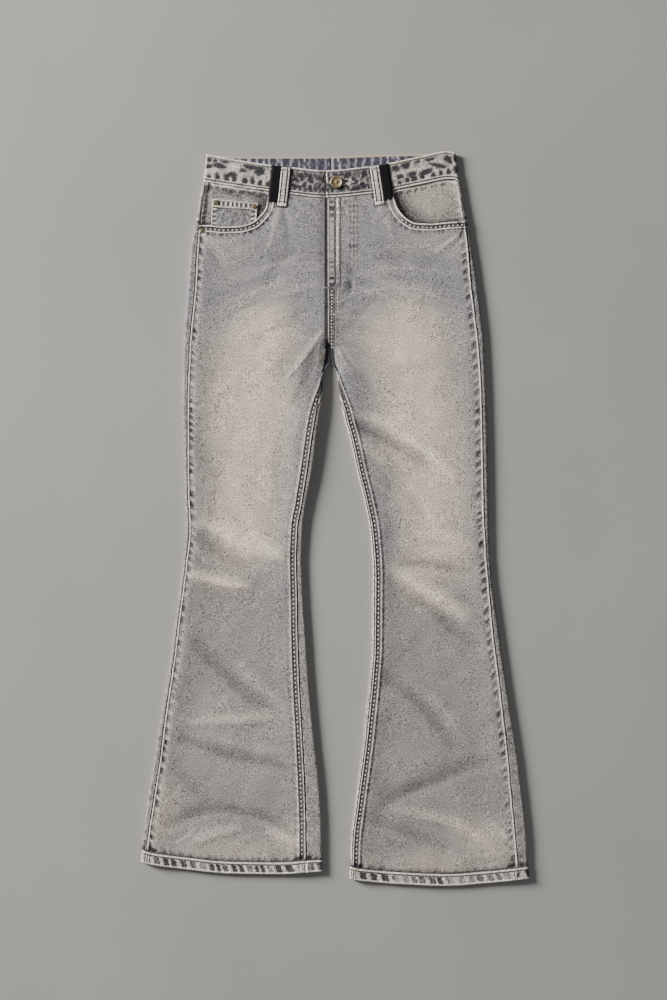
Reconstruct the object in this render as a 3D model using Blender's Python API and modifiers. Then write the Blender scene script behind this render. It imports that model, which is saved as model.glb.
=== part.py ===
"""Flared five-pocket jeans, laid flat on their back with the front up.

The leg panels are lofts through level sections. A back panel lies underneath and folds up round both edges to the
side seam and the inseam, which show on top; a front panel closes the leg between those seams. "Right" and "left"
are the wearer's: the right leg is at -X. The waist is towards +Y and the ground is z = 0. Tables and sizes are in
millimetres, and MM turns them into the scene's metres.
"""

import math
from collections import namedtuple

import bmesh
import bpy
import numpy as np

MM = 0.001

# Cloth and seams
WALL = 1.5
HEM_WALL = 2.6
BAND_WALL = 2.4
TRIM_WALL = 1.2
SEAM_GAP = 0.3
WAIST_SEAM_GAP = 0.7
LEG_HEIGHT = 6.8
BAND_HEIGHT = 7.0
FOLD_RADIUS = 3.4
FOLD_STEPS = 3
CENTRE_BACK = -6.0
HEM_DEPTH = 18.0
FELL_WIDTH = 11.0
FELL_RISE = 0.7

# How the front lies on the back
REST_HEIGHT = 4.4
FLY_REST_HEIGHT = 5.4
LIFT_REACH = 26.0
HIP_FLAT_FOOT = 365.0
HIP_FLAT_HEAD = 410.0
LEAST_HEIGHT = 2 * WALL + SEAM_GAP
MOST_HEIGHT = 6.9

# Crotch: the front ends at CROTCH, and below it the back shows as a web down to the inseam folds
CROTCH = 258.0
WEB_TOP = 232.0
WEB_FOOT = 209.0
WEB_HALF_WIDTH = 14.0

# Fly
FLY_WIDTH = 44.0
FLY_FOOT = 317.0
FLY_RISE = 0.9
BAND_LAP_END = 35.0
BAND_LAP_START = -13.0
LAP_RAMP = 8.0
LAP_UNDER_TOP = 5.1
LAP_OVER_TOP = 7.8

# Pockets
FACING_FOOT = 412.0
FACING_INNER_MARGIN = 14.0
FACING_CLEARANCE = 0.8
OPENING_MARGIN = 30.0

# Trim
LOOP_WIDTH = 12.4
LOOP_RAMP = 4.0
BUTTON_RADIUS = 9.0
BUTTON_HEIGHT = 2.8
BUTTON_SHANK_RADIUS = 3.0
BUTTONHOLE_EYE = 3.4
BUTTONHOLE_LENGTH = 23.0
BUTTONHOLE_WIDTH = 1.6
RIVET_RADIUS = 3.5
RIVET_HEIGHT = 1.2
ZIP_WIDTH = 24.0
ZIP_WALL = 1.0
ZIP_FOOT = 325.0
ZIP_HEAD = 462.0

# Each edge of a leg: x is where the fold reaches, and seam is how far inside it the seam lies on top
EdgeRow = namedtuple("EdgeRow", "y x seam")

RIGHT_OUTER = [
    EdgeRow(532, -188, 3.4), EdgeRow(494, -192, 3.4), EdgeRow(470, -197, 4.1), EdgeRow(437, -202, 5.1),
    EdgeRow(397, -210, 9.5), EdgeRow(334, -215, 11.0), EdgeRow(253, -221, 9.5), EdgeRow(188, -222, 7.6),
    EdgeRow(123, -221, 6.3), EdgeRow(44, -219, 4.6), EdgeRow(-16, -218, 5.8), EdgeRow(-66, -222, 4.8),
    EdgeRow(-143, -232, 4.7), EdgeRow(-204, -240, 5.4), EdgeRow(-290, -254, 6.6), EdgeRow(-350, -263, 8.2),
    EdgeRow(-409, -273, 9.0), EdgeRow(-460, -279, 7.2), EdgeRow(-502, -283, 6.6),
]
RIGHT_INNER = [
    EdgeRow(494, -11, 0.0), EdgeRow(262, -11, 0.0), EdgeRow(247, -13, 3.5), EdgeRow(224, -15, 3.5),
    EdgeRow(206, -17, 3.7), EdgeRow(166, -20, 6.1), EdgeRow(123, -26, 7.3), EdgeRow(74, -32, 8.4),
    EdgeRow(20, -42, 7.0), EdgeRow(-10, -46, 8.6), EdgeRow(-60, -48, 8.6), EdgeRow(-115, -46, 9.4),
    EdgeRow(-158, -43, 12.0), EdgeRow(-232, -38, 14.7), EdgeRow(-321, -30, 18.1), EdgeRow(-385, -23, 21.9),
    EdgeRow(-457, -19, 24.0), EdgeRow(-514, -19, 23.4),
]
LEFT_OUTER = [
    EdgeRow(532, 176, 3.4), EdgeRow(494, 181, 3.4), EdgeRow(473, 185, 3.6), EdgeRow(442, 191, 3.8),
    EdgeRow(409, 197, 4.8), EdgeRow(372, 203, 7.3), EdgeRow(336, 208, 9.2), EdgeRow(298, 213, 9.3),
    EdgeRow(257, 217, 8.3), EdgeRow(191, 220, 6.9), EdgeRow(123, 222, 7.2), EdgeRow(7, 224, 7.0),
    EdgeRow(-44, 225, 5.1), EdgeRow(-85, 228, 4.9), EdgeRow(-115, 232, 6.4), EdgeRow(-180, 241, 9.0),
    EdgeRow(-236, 249, 9.8), EdgeRow(-293, 258, 12.1), EdgeRow(-346, 266, 14.0), EdgeRow(-394, 272, 15.8),
    EdgeRow(-448, 278, 16.7), EdgeRow(-523, 284, 16.1),
]
LEFT_INNER = [
    EdgeRow(494, -11, 0.0), EdgeRow(260, -10, 0.0), EdgeRow(244, -1, 3.5), EdgeRow(229, 0, 3.5),
    EdgeRow(212, 2, 3.5), EdgeRow(186, 6, 3.5), EdgeRow(146, 13, 3.8), EdgeRow(120, 20, 4.1),
    EdgeRow(67, 32, 3.8), EdgeRow(31, 41, 3.6), EdgeRow(-23, 51, 3.6), EdgeRow(-79, 54, 4.4),
    EdgeRow(-140, 53, 5.0), EdgeRow(-184, 53, 4.6), EdgeRow(-225, 50, 5.1), EdgeRow(-273, 45, 5.8),
    EdgeRow(-321, 40, 5.8), EdgeRow(-371, 34, 5.3), EdgeRow(-419, 28, 4.7), EdgeRow(-472, 22, 4.4),
    EdgeRow(-524, 21, 4.1),
]

# Levels of the sections between the hem and the waistband
LEVELS = [
    -465, -425, -380, -335, -290, -245, -200, -160, -120, -85, -50, -16, 15, 50, 90, 130, 170, 209, 220, 232,
    245, 257, 264, 295, 330, 365, 400, 430,
]

# The hem's lower edge, from the outer side of each leg to its inner side
HemRow = namedtuple("HemRow", "x y")
RIGHT_HEM = [
    HemRow(-283, -500), HemRow(-268, -504), HemRow(-217, -511), HemRow(-154, -517), HemRow(-82, -518),
    HemRow(-38, -515), HemRow(-19, -514),
]
LEFT_HEM = [
    HemRow(283, -524), HemRow(259, -527), HemRow(222, -531), HemRow(162, -535), HemRow(89, -532),
    HemRow(34, -527), HemRow(21, -524),
]

# The waistband's edges, across the front and across the back
BandRow = namedtuple("BandRow", "x front_foot front_head back_foot back_head")
BAND = [
    BandRow(-192, 493, 532, 491, 532), BandRow(-142, 485, 523, 488, 528), BandRow(-94, 478, 516, 487, 528),
    BandRow(-66, 474, 513, 487, 528), BandRow(-15, 469, 508, 487, 528), BandRow(50, 474.5, 514, 488, 530),
    BandRow(81, 479.5, 519, 489, 531), BandRow(132, 490, 530, 490, 532), BandRow(166, 496, 536, 491, 532),
    BandRow(181, 493, 532, 491, 532),
]

# The pocket openings' edges, from the waistband to the side seam
OpeningRow = namedtuple("OpeningRow", "x y")
RIGHT_OPENING = [
    OpeningRow(-96, 490), OpeningRow(-98, 470), OpeningRow(-100, 456), OpeningRow(-109, 442),
    OpeningRow(-121, 432), OpeningRow(-139, 427), OpeningRow(-163, 426), OpeningRow(-184, 428),
    OpeningRow(-212, 428),
]
LEFT_OPENING = [
    OpeningRow(83, 490), OpeningRow(87, 463), OpeningRow(93, 450), OpeningRow(104, 438), OpeningRow(118, 431),
    OpeningRow(139, 430), OpeningRow(160, 432), OpeningRow(205, 435),
]

# The coin pocket's corners on the right facing: head outer, head inner, foot inner, foot outer
COIN_CORNERS = [(-179, 467), (-113, 460), (-116, 422), (-181, 418)]

# The largest creases, as ridges (height above 0) or troughs (below 0) from one point to the other
CreaseRow = namedtuple("CreaseRow", "x0 y0 x1 y1 height half_width")
CREASES = [
    CreaseRow(-20, 274, -69, 209, 1.2, 20), CreaseRow(-40, 300, -110, 262, -0.8, 22),
    CreaseRow(-205, -35, -124, -77, -1.4, 24), CreaseRow(-186, -1, -94, -48, 1.7, 24),
    CreaseRow(-174, -85, -120, -108, 1.3, 22), CreaseRow(-207, -327, -89, -361, -1.3, 30),
    CreaseRow(-234, -450, -111, -431, -1.0, 24), CreaseRow(-170, -250, -90, -270, 1.0, 30),
    CreaseRow(26, 139, 118, 92, -1.3, 22), CreaseRow(30, 165, 112, 124, 1.1, 20),
    CreaseRow(112, -66, 201, -82, -1.3, 22), CreaseRow(97, -75, 168, -121, 1.5, 22),
    CreaseRow(65, -85, 159, -140, -1.3, 22), CreaseRow(77, -414, 235, -356, -1.4, 30),
    CreaseRow(41, -455, 150, -486, -1.0, 22), CreaseRow(100, -300, 172, -327, -1.0, 26),
]

# Belt loops: the middle of the head and of the foot
LoopRow = namedtuple("LoopRow", "name head_x head_y foot_x foot_y material")
LOOPS = [
    LoopRow("right_denim_loop", -71.5, 512, -77.5, 456, "denim_loop"),
    LoopRow("right_tape_loop", -84.5, 514, -90.0, 463, "black_tape"),
    LoopRow("left_denim_loop", 57.0, 514, 65.5, 458, "denim_loop"),
    LoopRow("left_tape_loop", 70.0, 516, 78.0, 466, "black_tape"),
]

BUTTON_PLACE = (2.0, 491.0)

# Rivets: what carries each, and its place
RivetRow = namedtuple("RivetRow", "name x y seat")
RIVETS = [
    RivetRow("right_pocket_rivet", -193.0, 421.0, "panel"),
    RivetRow("left_pocket_rivet", 185.0, 424.5, "panel"),
    RivetRow("coin_rivet_outer", -173.5, 461.5, "coin"),
    RivetRow("coin_rivet_inner", -118.0, 455.5, "coin"),
]


def smooth_curve(places, values):
    """A function that runs smoothly through the values at the places, with no overshoot between them."""
    order = np.argsort(places)
    at = np.asarray(places, float)[order]
    level = np.asarray(values, float)[order]
    rate = np.diff(level) / np.diff(at)
    slope = np.concatenate([rate[:1], np.zeros(len(rate) - 1), rate[-1:]])
    for i in range(1, len(rate)):
        if rate[i - 1] * rate[i] > 0:
            slope[i] = 2 * rate[i - 1] * rate[i] / (rate[i - 1] + rate[i])

    def value(place):
        place = min(max(place, at[0]), at[-1])
        i = min(int(np.searchsorted(at, place, side="right")) - 1, len(at) - 2)
        span = at[i + 1] - at[i]
        t = (place - at[i]) / span
        start = (1 + 2 * t) * (1 - t) ** 2 * level[i] + t * (1 - t) ** 2 * span * slope[i]
        end = t * t * (3 - 2 * t) * level[i + 1] + t * t * (t - 1) * span * slope[i + 1]
        return float(start + end)

    return value


def column(rows, place, name):
    """The curve through one named column of a table."""
    return smooth_curve([getattr(row, place) for row in rows], [getattr(row, name) for row in rows])


def blend(a, b, share):
    return a + (b - a) * share


def ramp(value, start, end):
    """0 at start, 1 at end, eased."""
    t = min(max((value - start) / (end - start), 0.0), 1.0)
    return t * t * (3 - 2 * t)


class Leg:
    """One leg's curves. out is the direction of its outer side along X."""

    def __init__(self, name, out, outer, inner, hem, opening):
        self.name = name
        self.out = out
        self.outer_x = column(outer, "y", "x")
        self.outer_seam = column(outer, "y", "seam")
        self.inner_x = column(inner, "y", "x")
        self.inner_seam = column(inner, "y", "seam")
        self.hem_y = column(hem, "x", "y")
        self.opening = opening

    def front_edges(self, y):
        """The front panel's outer and inner edge at a level."""
        outer = self.outer_x(y) - self.out * (self.outer_seam(y) + SEAM_GAP)
        inset = inseam_rise(y) * (self.inner_seam(y) + SEAM_GAP / 2) + SEAM_GAP / 2
        return outer, self.inner_x(y) + self.out * inset


LEGS = {
    "right": Leg("right", -1, RIGHT_OUTER, RIGHT_INNER, RIGHT_HEM, RIGHT_OPENING),
    "left": Leg("left", 1, LEFT_OUTER, LEFT_INNER, LEFT_HEM, LEFT_OPENING),
}

front_foot = column(BAND, "x", "front_foot")
front_head = column(BAND, "x", "front_head")
back_foot = column(BAND, "x", "back_foot")
back_head = column(BAND, "x", "back_head")


def inseam_rise(y):
    """0 where the back lies flat to the centre, 1 where it folds up to the inseam."""
    return 1 - ramp(y, WEB_FOOT, WEB_TOP)


def crease_height(x, y):
    """What the creases add at a point: each one fades across its half width and towards its ends."""
    total = 0.0
    for row in CREASES:
        length = math.hypot(row.x1 - row.x0, row.y1 - row.y0)
        along_x = (row.x1 - row.x0) / length
        along_y = (row.y1 - row.y0) / length
        along = (x - row.x0) * along_x + (y - row.y0) * along_y
        across = (x - row.x0) * along_y - (y - row.y0) * along_x
        beyond = max(-along, along - length, 0.0)
        far = (across**2 + beyond**2) / row.half_width**2
        total += row.height * math.exp(-1.6 * far)
    return total


def front_height(leg, x, y):
    """Height of the front panel's upper face."""
    outer, inner = leg.front_edges(y)
    from_outer = abs(x - outer)
    from_inner = abs(x - inner)
    lift = math.exp(-((from_outer / LIFT_REACH) ** 2))
    folded = inseam_rise(y)
    lift = max(lift, folded * math.exp(-((from_inner / LIFT_REACH) ** 2)))
    height = blend(REST_HEIGHT, LEG_HEIGHT, lift)
    at_fly = math.exp(-((from_inner / LIFT_REACH) ** 2)) * (1 - folded)
    height = max(height, blend(REST_HEIGHT, FLY_REST_HEIGHT, at_fly))
    height = blend(height, LEG_HEIGHT, ramp(y, HIP_FLAT_FOOT, HIP_FLAT_HEAD))
    fade = 1 - math.exp(-((min(from_outer, from_inner) / 12.0) ** 2))
    height += fade * crease_height(x, y)
    height = min(max(height, LEAST_HEIGHT), MOST_HEIGHT)
    web = ramp(y, CROTCH + 6, CROTCH - 1) * (1 - folded)
    drop = web * max(0.0, 1 - from_inner / 10.0)
    height = blend(height, LEAST_HEIGHT, drop)
    if from_inner < FELL_WIDTH:
        height += FELL_RISE * folded
    if leg.name == "left" and y > FLY_FOOT and from_inner < FLY_WIDTH / 2:
        height += FLY_RISE
    return height


def facing_height(leg, x, y):
    return front_height(leg, x, y) - WALL - FACING_CLEARANCE


def coin_height(x, y):
    return facing_height(LEGS["right"], x, y) + SEAM_GAP + TRIM_WALL


def band_front_height(name, x):
    """Height of the waistband's upper face on the front, with the lap at the fly."""
    if name == "left":
        return blend(LAP_OVER_TOP, BAND_HEIGHT, ramp(x, BAND_LAP_END, BAND_LAP_END + LAP_RAMP))
    return blend(BAND_HEIGHT, LAP_UNDER_TOP, ramp(x, BAND_LAP_START - 1.5 * LAP_RAMP, BAND_LAP_START - 2))


def clear_scene():
    for item in list(bpy.data.objects):
        bpy.data.objects.remove(item, do_unlink=True)


def new_collection(name, hidden=False):
    collection = bpy.data.collections.new(name)
    bpy.context.scene.collection.children.link(collection)
    collection.hide_render = hidden
    return collection


def new_material(name, colour, roughness, metallic=0.0):
    material = bpy.data.materials.new(name)
    material.use_nodes = True
    shader = material.node_tree.nodes["Principled BSDF"]
    shader.inputs["Base Color"].default_value = (*colour, 1.0)
    shader.inputs["Roughness"].default_value = roughness
    shader.inputs["Metallic"].default_value = metallic
    material.diffuse_color = (*colour, 1.0)
    return material


FINISHES = {
    "denim": ((0.33, 0.32, 0.33), 0.9, 0.0),
    "denim_facing": ((0.27, 0.27, 0.31), 0.9, 0.0),
    "denim_band": ((0.36, 0.34, 0.33), 0.9, 0.0),
    "denim_loop": ((0.42, 0.40, 0.38), 0.9, 0.0),
    "black_tape": ((0.012, 0.011, 0.014), 0.8, 0.0),
    "brass": ((0.26, 0.17, 0.07), 0.35, 1.0),
    "copper": ((0.34, 0.16, 0.08), 0.4, 1.0),
    "zip_tape": ((0.10, 0.10, 0.13), 0.8, 0.0),
}


def add_object(name, mesh, collection, finish):
    """Puts a mesh in the scene with a material of its own."""
    item = bpy.data.objects.new(name, mesh)
    collection.objects.link(item)
    colour, roughness, metallic = FINISHES[finish]
    mesh.materials.append(new_material(name + "_" + finish, colour, roughness, metallic))
    mesh.shade_smooth()
    mesh.set_sharp_from_angle(angle=math.radians(40))
    return item


def grid_surface(work, points):
    """Fills a bmesh with a grid of points in millimetres, and gives its vertices in rows."""
    rows = [[work.verts.new([value * MM for value in point]) for point in row] for row in points]
    for lower, upper in zip(rows, rows[1:]):
        for i in range(len(lower) - 1):
            work.faces.new((lower[i], lower[i + 1], upper[i + 1], upper[i]))
    return rows


def layer(name, points, wall, collection, finish):
    """A sheet that lies flat: its upper face through the points, and its lower face a wall below.

    wall is a thickness or a function of x and y.
    """
    work = bmesh.new()
    grid_surface(work, points)
    upper = work.faces[:]
    copied = bmesh.ops.extrude_face_region(work, geom=upper)
    for part in copied["geom"]:
        if isinstance(part, bmesh.types.BMVert):
            depth = wall(part.co.x / MM, part.co.y / MM) if callable(wall) else wall
            part.co.z -= depth * MM
    bmesh.ops.recalc_face_normals(work, faces=work.faces[:])
    mesh = bpy.data.meshes.new(name)
    work.to_mesh(mesh)
    work.free()
    return add_object(name, mesh, collection, finish)


def folded_sheet(name, points, flip, wall, collection, finish, thick_rows=0, thick_wall=None):
    """A sheet that folds round an edge: its outer face through the points, thickened inwards by Solidify.

    The first thick_rows rows, as at a turned hem, are thick_wall through.
    """
    work = bmesh.new()
    grid_surface(work, points)
    if flip:
        bmesh.ops.reverse_faces(work, faces=work.faces[:])
    mesh = bpy.data.meshes.new(name)
    work.to_mesh(mesh)
    work.free()
    item = add_object(name, mesh, collection, finish)
    solid = item.modifiers.new("Wall", "SOLIDIFY")
    solid.offset = -1
    solid.thickness = wall * MM
    if thick_rows:
        group = item.vertex_groups.new(name="hem")
        group.add(list(range(thick_rows * len(points[0]))), 1.0, "REPLACE")
        solid.thickness = thick_wall * MM
        solid.vertex_group = group.name
        solid.thickness_vertex_group = wall / thick_wall
    return item


def fold_points(edge, out, inset_top, height):
    """Points (x, z) from the seam on top, round the fold, to the underside. out points away from the leg."""
    reach = min(FOLD_RADIUS, inset_top - 1.0)
    points = [(edge - out * inset_top, height)]
    for step in range(FOLD_STEPS + 1):
        angle = math.pi / 2 * (1 - step / FOLD_STEPS)
        points.append((edge - out * reach * (1 - math.cos(angle)), height / 2 * (1 + math.sin(angle))))
    for step in range(1, FOLD_STEPS + 1):
        angle = math.pi / 2 * step / FOLD_STEPS
        points.append((edge - out * FOLD_RADIUS * (1 - math.cos(angle)), height / 2 * (1 - math.sin(angle))))
    return points


UNDER_STEPS = 5


def back_section(leg, y):
    """Points (x, z) of a back panel's outer face at a level, from the side seam round to its inner edge."""
    outer = fold_points(leg.outer_x(y), leg.out, leg.outer_seam(y), LEG_HEIGHT)
    inner = fold_points(leg.inner_x(y), -leg.out, max(leg.inner_seam(y), 3.4), LEG_HEIGHT)[::-1]
    centre = CENTRE_BACK + leg.out * SEAM_GAP / 2
    rise = inseam_rise(y)
    flat_start = centre + leg.out * WEB_HALF_WIDTH
    for i, (x, z) in enumerate(inner):
        flat_x = blend(flat_start, centre, i / (len(inner) - 1))
        inner[i] = (blend(flat_x, x, rise), z * rise)
    start = outer[-1][0]
    end = inner[0][0]
    under = [(blend(start, end, i / UNDER_STEPS), 0.0) for i in range(1, UNDER_STEPS)]
    return outer + under + inner


def hem_levels(leg):
    """Each section's level: the hem's three, the plain ones, and the one under the waistband."""
    return [("hem", 0.0), ("hem", HEM_DEPTH - 1), ("hem", HEM_DEPTH)] + [("level", y) for y in LEVELS] + [("waist", 0)]


def back_panel(leg, collection):
    points = []
    for kind, value in hem_levels(leg):
        level = {"hem": -509.0 + value, "level": value, "waist": 489.0}[kind]
        row = []
        for x, z in back_section(leg, level):
            y = level
            if kind == "hem":
                y = leg.hem_y(x) + value
            if kind == "waist":
                y = blend(back_foot(x), front_foot(x), z / LEG_HEIGHT) - WAIST_SEAM_GAP
            row.append((x, y, z))
        points.append(row)
    flip = leg.out < 0
    return folded_sheet(leg.name + "_back_panel", points, flip, WALL, collection, "denim", 2, HEM_WALL)


FRONT_STEPS = 9
FRONT_MARGINS = (0.0, 8.0)


def front_columns(outer, inner):
    """The x of each column of a front panel: close together at the seams, even between them."""
    way = 1 if inner > outer else -1
    start = [outer + way * margin for margin in FRONT_MARGINS]
    end = [inner - way * margin for margin in (FELL_WIDTH + 2, FELL_WIDTH - 0.5, 4.0, 0.0)]
    middle = [blend(start[-1], end[0], i / FRONT_STEPS) for i in range(1, FRONT_STEPS)]
    return start + middle + end


def front_panel(leg, collection):
    points = []
    for kind, value in hem_levels(leg):
        level = {"hem": -509.0 + value, "level": value, "waist": 480.0}[kind]
        outer, inner = leg.front_edges(level)
        row = []
        for x in front_columns(outer, inner):
            y = level
            z = front_height(leg, x, level)
            if kind == "hem":
                y = leg.hem_y(x) + value
                z = blend(LEG_HEIGHT - 0.6, LEG_HEIGHT, 0.5)
                if value < HEM_DEPTH:
                    z = LEG_HEIGHT + 0.5
            if kind == "waist":
                y = front_foot(x) - SEAM_GAP
            row.append((x, y, z))
        points.append(row)

    def wall(x, y):
        return HEM_WALL if y < leg.hem_y(x) + HEM_DEPTH - 0.5 else WALL

    return layer(leg.name + "_front_panel", points, wall, collection, "denim")


def opening_outline(leg, shift):
    """The pocket opening as a closed outline, its curved edge moved outwards by shift."""
    rows = leg.opening
    xs = smooth_curve(range(len(rows)), [row.x for row in rows])
    ys = smooth_curve(range(len(rows)), [row.y for row in rows])
    outline = []
    steps = 3 * (len(rows) - 1)
    for i in range(steps + 1):
        t = i / 3
        ahead = (xs(t + 0.05) - xs(t - 0.05), ys(t + 0.05) - ys(t - 0.05))
        length = math.hypot(*ahead)
        across = (-ahead[1] / length * leg.out, ahead[0] / length * leg.out)
        outline.append((xs(t) + shift * across[0], ys(t) + shift * across[1]))
    far = leg.out * 240
    return outline + [(far, outline[-1][1]), (far, 540), (outline[0][0], 540)]


def outline_prism(name, outline, low, high, collection):
    """A flat outline given thickness from low to high, as one closed mesh."""
    data = bpy.data.curves.new(name, "CURVE")
    data.dimensions = "2D"
    data.fill_mode = "BOTH"
    data.extrude = (high - low) / 2 * MM
    spline = data.splines.new("POLY")
    spline.points.add(len(outline) - 1)
    for point, (x, y) in zip(spline.points, outline):
        point.co = (x * MM, y * MM, 0, 1)
    spline.use_cyclic_u = True
    guide = bpy.data.objects.new(name + "_outline", data)
    guide.location.z = (low + high) / 2 * MM
    collection.objects.link(guide)
    bpy.context.view_layer.update()
    graph = bpy.context.evaluated_depsgraph_get()
    mesh = bpy.data.meshes.new_from_object(guide.evaluated_get(graph))
    work = bmesh.new()
    work.from_mesh(mesh)
    bmesh.ops.remove_doubles(work, verts=work.verts[:], dist=0.00001)
    bmesh.ops.recalc_face_normals(work, faces=work.faces[:])
    work.to_mesh(mesh)
    work.free()
    item = bpy.data.objects.new(name, mesh)
    item.matrix_world = guide.matrix_world
    collection.objects.link(item)
    bpy.data.objects.remove(guide)
    item.display_type = "WIRE"
    item.hide_render = True
    return item


def add_boolean(item, other, operation):
    modifier = item.modifiers.new(operation.title(), "BOOLEAN")
    modifier.operation = operation
    modifier.solver = "EXACT"
    modifier.object = other


def pocket_facing(leg, collection):
    points = []
    foot = FACING_FOOT
    inner = leg.opening[1].x - leg.out * FACING_INNER_MARGIN
    for share in (0.0, 0.12, 0.35, 0.65, 1.0):
        row = []
        outer = leg.front_edges(blend(foot, 490, share))[0]
        for i in range(8):
            x = blend(outer, inner, i / 7)
            y = blend(foot, front_foot(x) - SEAM_GAP, share)
            row.append((x, y, facing_height(leg, x, y)))
        points.append(row)
    return layer(leg.name + "_pocket_facing", points, TRIM_WALL, collection, "denim_facing")


def coin_pocket(collection, cutters):
    head_outer, head_inner, foot_inner, foot_outer = COIN_CORNERS
    points = []
    for row_share in (0.0, 0.5, 0.85, 1.0):
        row = []
        for i in range(5):
            share = i / 4
            x = blend(blend(foot_outer[0], foot_inner[0], share), blend(head_outer[0], head_inner[0], share), row_share)
            y = blend(blend(foot_outer[1], foot_inner[1], share), blend(head_outer[1], head_inner[1], share), row_share)
            row.append((x, y, coin_height(x, y)))
        points.append(row)
    item = layer("coin_pocket", points, TRIM_WALL, collection, "denim_facing")
    keeper = outline_prism("coin_keeper", opening_outline(LEGS["right"], SEAM_GAP + 0.2), -5, 20, cutters)
    add_boolean(item, keeper, "INTERSECT")
    return item


def band_path(name):
    """Points (x, z) of a waistband half's outer face, from its front end round the side to the centre back."""
    leg = LEGS[name]
    out = leg.out
    edge = leg.outer_x(512)
    fold = fold_points(edge, out, FOLD_RADIUS + 1.5, BAND_HEIGHT)
    lap = BAND_LAP_END if name == "right" else BAND_LAP_START
    near = {
        "right": [lap, 10.0, BAND_LAP_START - 2, BAND_LAP_START - LAP_RAMP, BAND_LAP_START - 1.6 * LAP_RAMP],
        "left": [lap, 10.0, BAND_LAP_END, BAND_LAP_END + LAP_RAMP / 2, BAND_LAP_END + LAP_RAMP],
    }[name]
    front = [(x, band_front_height(name, x)) for x in near]
    last = near[-1]
    front += [(blend(last, fold[0][0], i / 5), BAND_HEIGHT) for i in range(1, 5)]
    end = CENTRE_BACK + out * SEAM_GAP / 2
    under = [(blend(fold[-1][0], end, i / 6), 0.0) for i in range(1, 7)]
    return front + fold + under


def waistband(name, collection):
    leg = LEGS[name]
    middle_edge = leg.outer_x(512)
    points = []
    for share in (0.0, 0.5, 1.0):
        row = []
        for i, (x, z) in enumerate(band_path(name)):
            front = min(z / BAND_HEIGHT, 1.0) if i > 4 else 1.0
            foot = blend(back_foot(x), front_foot(x), front)
            head = blend(back_head(x), front_head(x), front)
            y = blend(foot, head, share)
            lean = leg.outer_x(y) - middle_edge
            side = min(max((x * leg.out - 100) / 80, 0.0), 1.0)
            row.append((x + lean * side, y, z))
        points.append(row)
    flip = leg.out < 0
    return folded_sheet(name + "_waistband", points, flip, BAND_WALL, collection, "denim_band")


def buttonhole(band, cutters):
    """A keyhole buttonhole: a slot that ends in a round eye at the button."""
    x, y = BUTTON_PLACE
    outline = []
    half = BUTTONHOLE_WIDTH / 2
    start = math.asin(half / BUTTONHOLE_EYE)
    for i in range(13):
        angle = start + (2 * math.pi - 2 * start) * i / 12
        outline.append((x + BUTTONHOLE_EYE * math.cos(angle), y + BUTTONHOLE_EYE * math.sin(angle)))
    outline += [(x + BUTTONHOLE_LENGTH, y - half), (x + BUTTONHOLE_LENGTH, y + half)]
    cutter = outline_prism("buttonhole_cutter", outline, LAP_UNDER_TOP + 0.1, 20, cutters)
    add_boolean(band, cutter, "DIFFERENCE")


def surface_height(x, y):
    """The highest cloth under a belt loop: the waistband, with a ramp just below it, or the front panel."""
    name = "left" if x > BAND_LAP_START else "right"
    panel = front_height(LEGS[name], x, min(y, 480))
    band = band_front_height(name, x)
    return max(panel, blend(panel, band, min(max((y - front_foot(x) + 2 * LOOP_RAMP) / LOOP_RAMP, 0.0), 1.0)))


def belt_loop(row, collection):
    """A strip that lies over the waistband, from its head to below its foot."""
    points = []
    length = math.hypot(row.head_x - row.foot_x, row.head_y - row.foot_y)
    side = ((row.head_y - row.foot_y) / length, -(row.head_x - row.foot_x) / length)
    for share in (0.0, 0.1, 0.17, 0.24, 0.31, 0.38, 0.6, 0.8, 1.0):
        x = blend(row.foot_x, row.head_x, share)
        y = blend(row.foot_y, row.head_y, share)
        line = []
        for offset in (-0.5, -0.3, 0.3, 0.5):
            px = x + side[0] * offset * LOOP_WIDTH
            py = y + side[1] * offset * LOOP_WIDTH
            crown = 0.4 if abs(offset) < 0.4 else 0.0
            line.append((px, py, surface_height(px, py) + SEAM_GAP + TRIM_WALL + crown))
        points.append(line)
    return layer(row.name, points, TRIM_WALL, collection, row.material)


def turned(name, profile, place, steps, collection, finish):
    """A turned piece: a profile of (radius, z), down its outer side, and a Screw round Z."""
    mesh = bpy.data.meshes.new(name)
    work = bmesh.new()
    line = [work.verts.new((radius * MM, 0, z * MM)) for radius, z in profile]
    for a, b in zip(line, line[1:]):
        work.edges.new((a, b))
    work.to_mesh(mesh)
    work.free()
    item = add_object(name, mesh, collection, finish)
    item.location = [value * MM for value in place]
    screw = item.modifiers.new("Turn", "SCREW")
    screw.axis = "Z"
    screw.steps = steps
    screw.render_steps = steps
    screw.use_merge_vertices = True
    screw.merge_threshold = 0.00001
    screw.use_smooth_shade = True
    return item


def waist_button(collection):
    seat = LAP_OVER_TOP + SEAM_GAP
    shank_foot = LAP_UNDER_TOP + SEAM_GAP - seat
    r = BUTTON_RADIUS
    h = BUTTON_HEIGHT
    profile = [
        (0, h - 0.2), (1.0, h - 0.3), (1.5, h - 1.0), (r - 2.4, h - 0.9), (r - 1.6, h - 0.1), (r - 0.8, h),
        (r - 0.1, h - 0.6), (r, h - 1.3), (r - 1.0, 0.2), (BUTTON_SHANK_RADIUS, 0.1),
        (BUTTON_SHANK_RADIUS, shank_foot), (0, shank_foot),
    ]
    turned("waist_button", profile, (*BUTTON_PLACE, seat), 24, collection, "brass")


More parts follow.
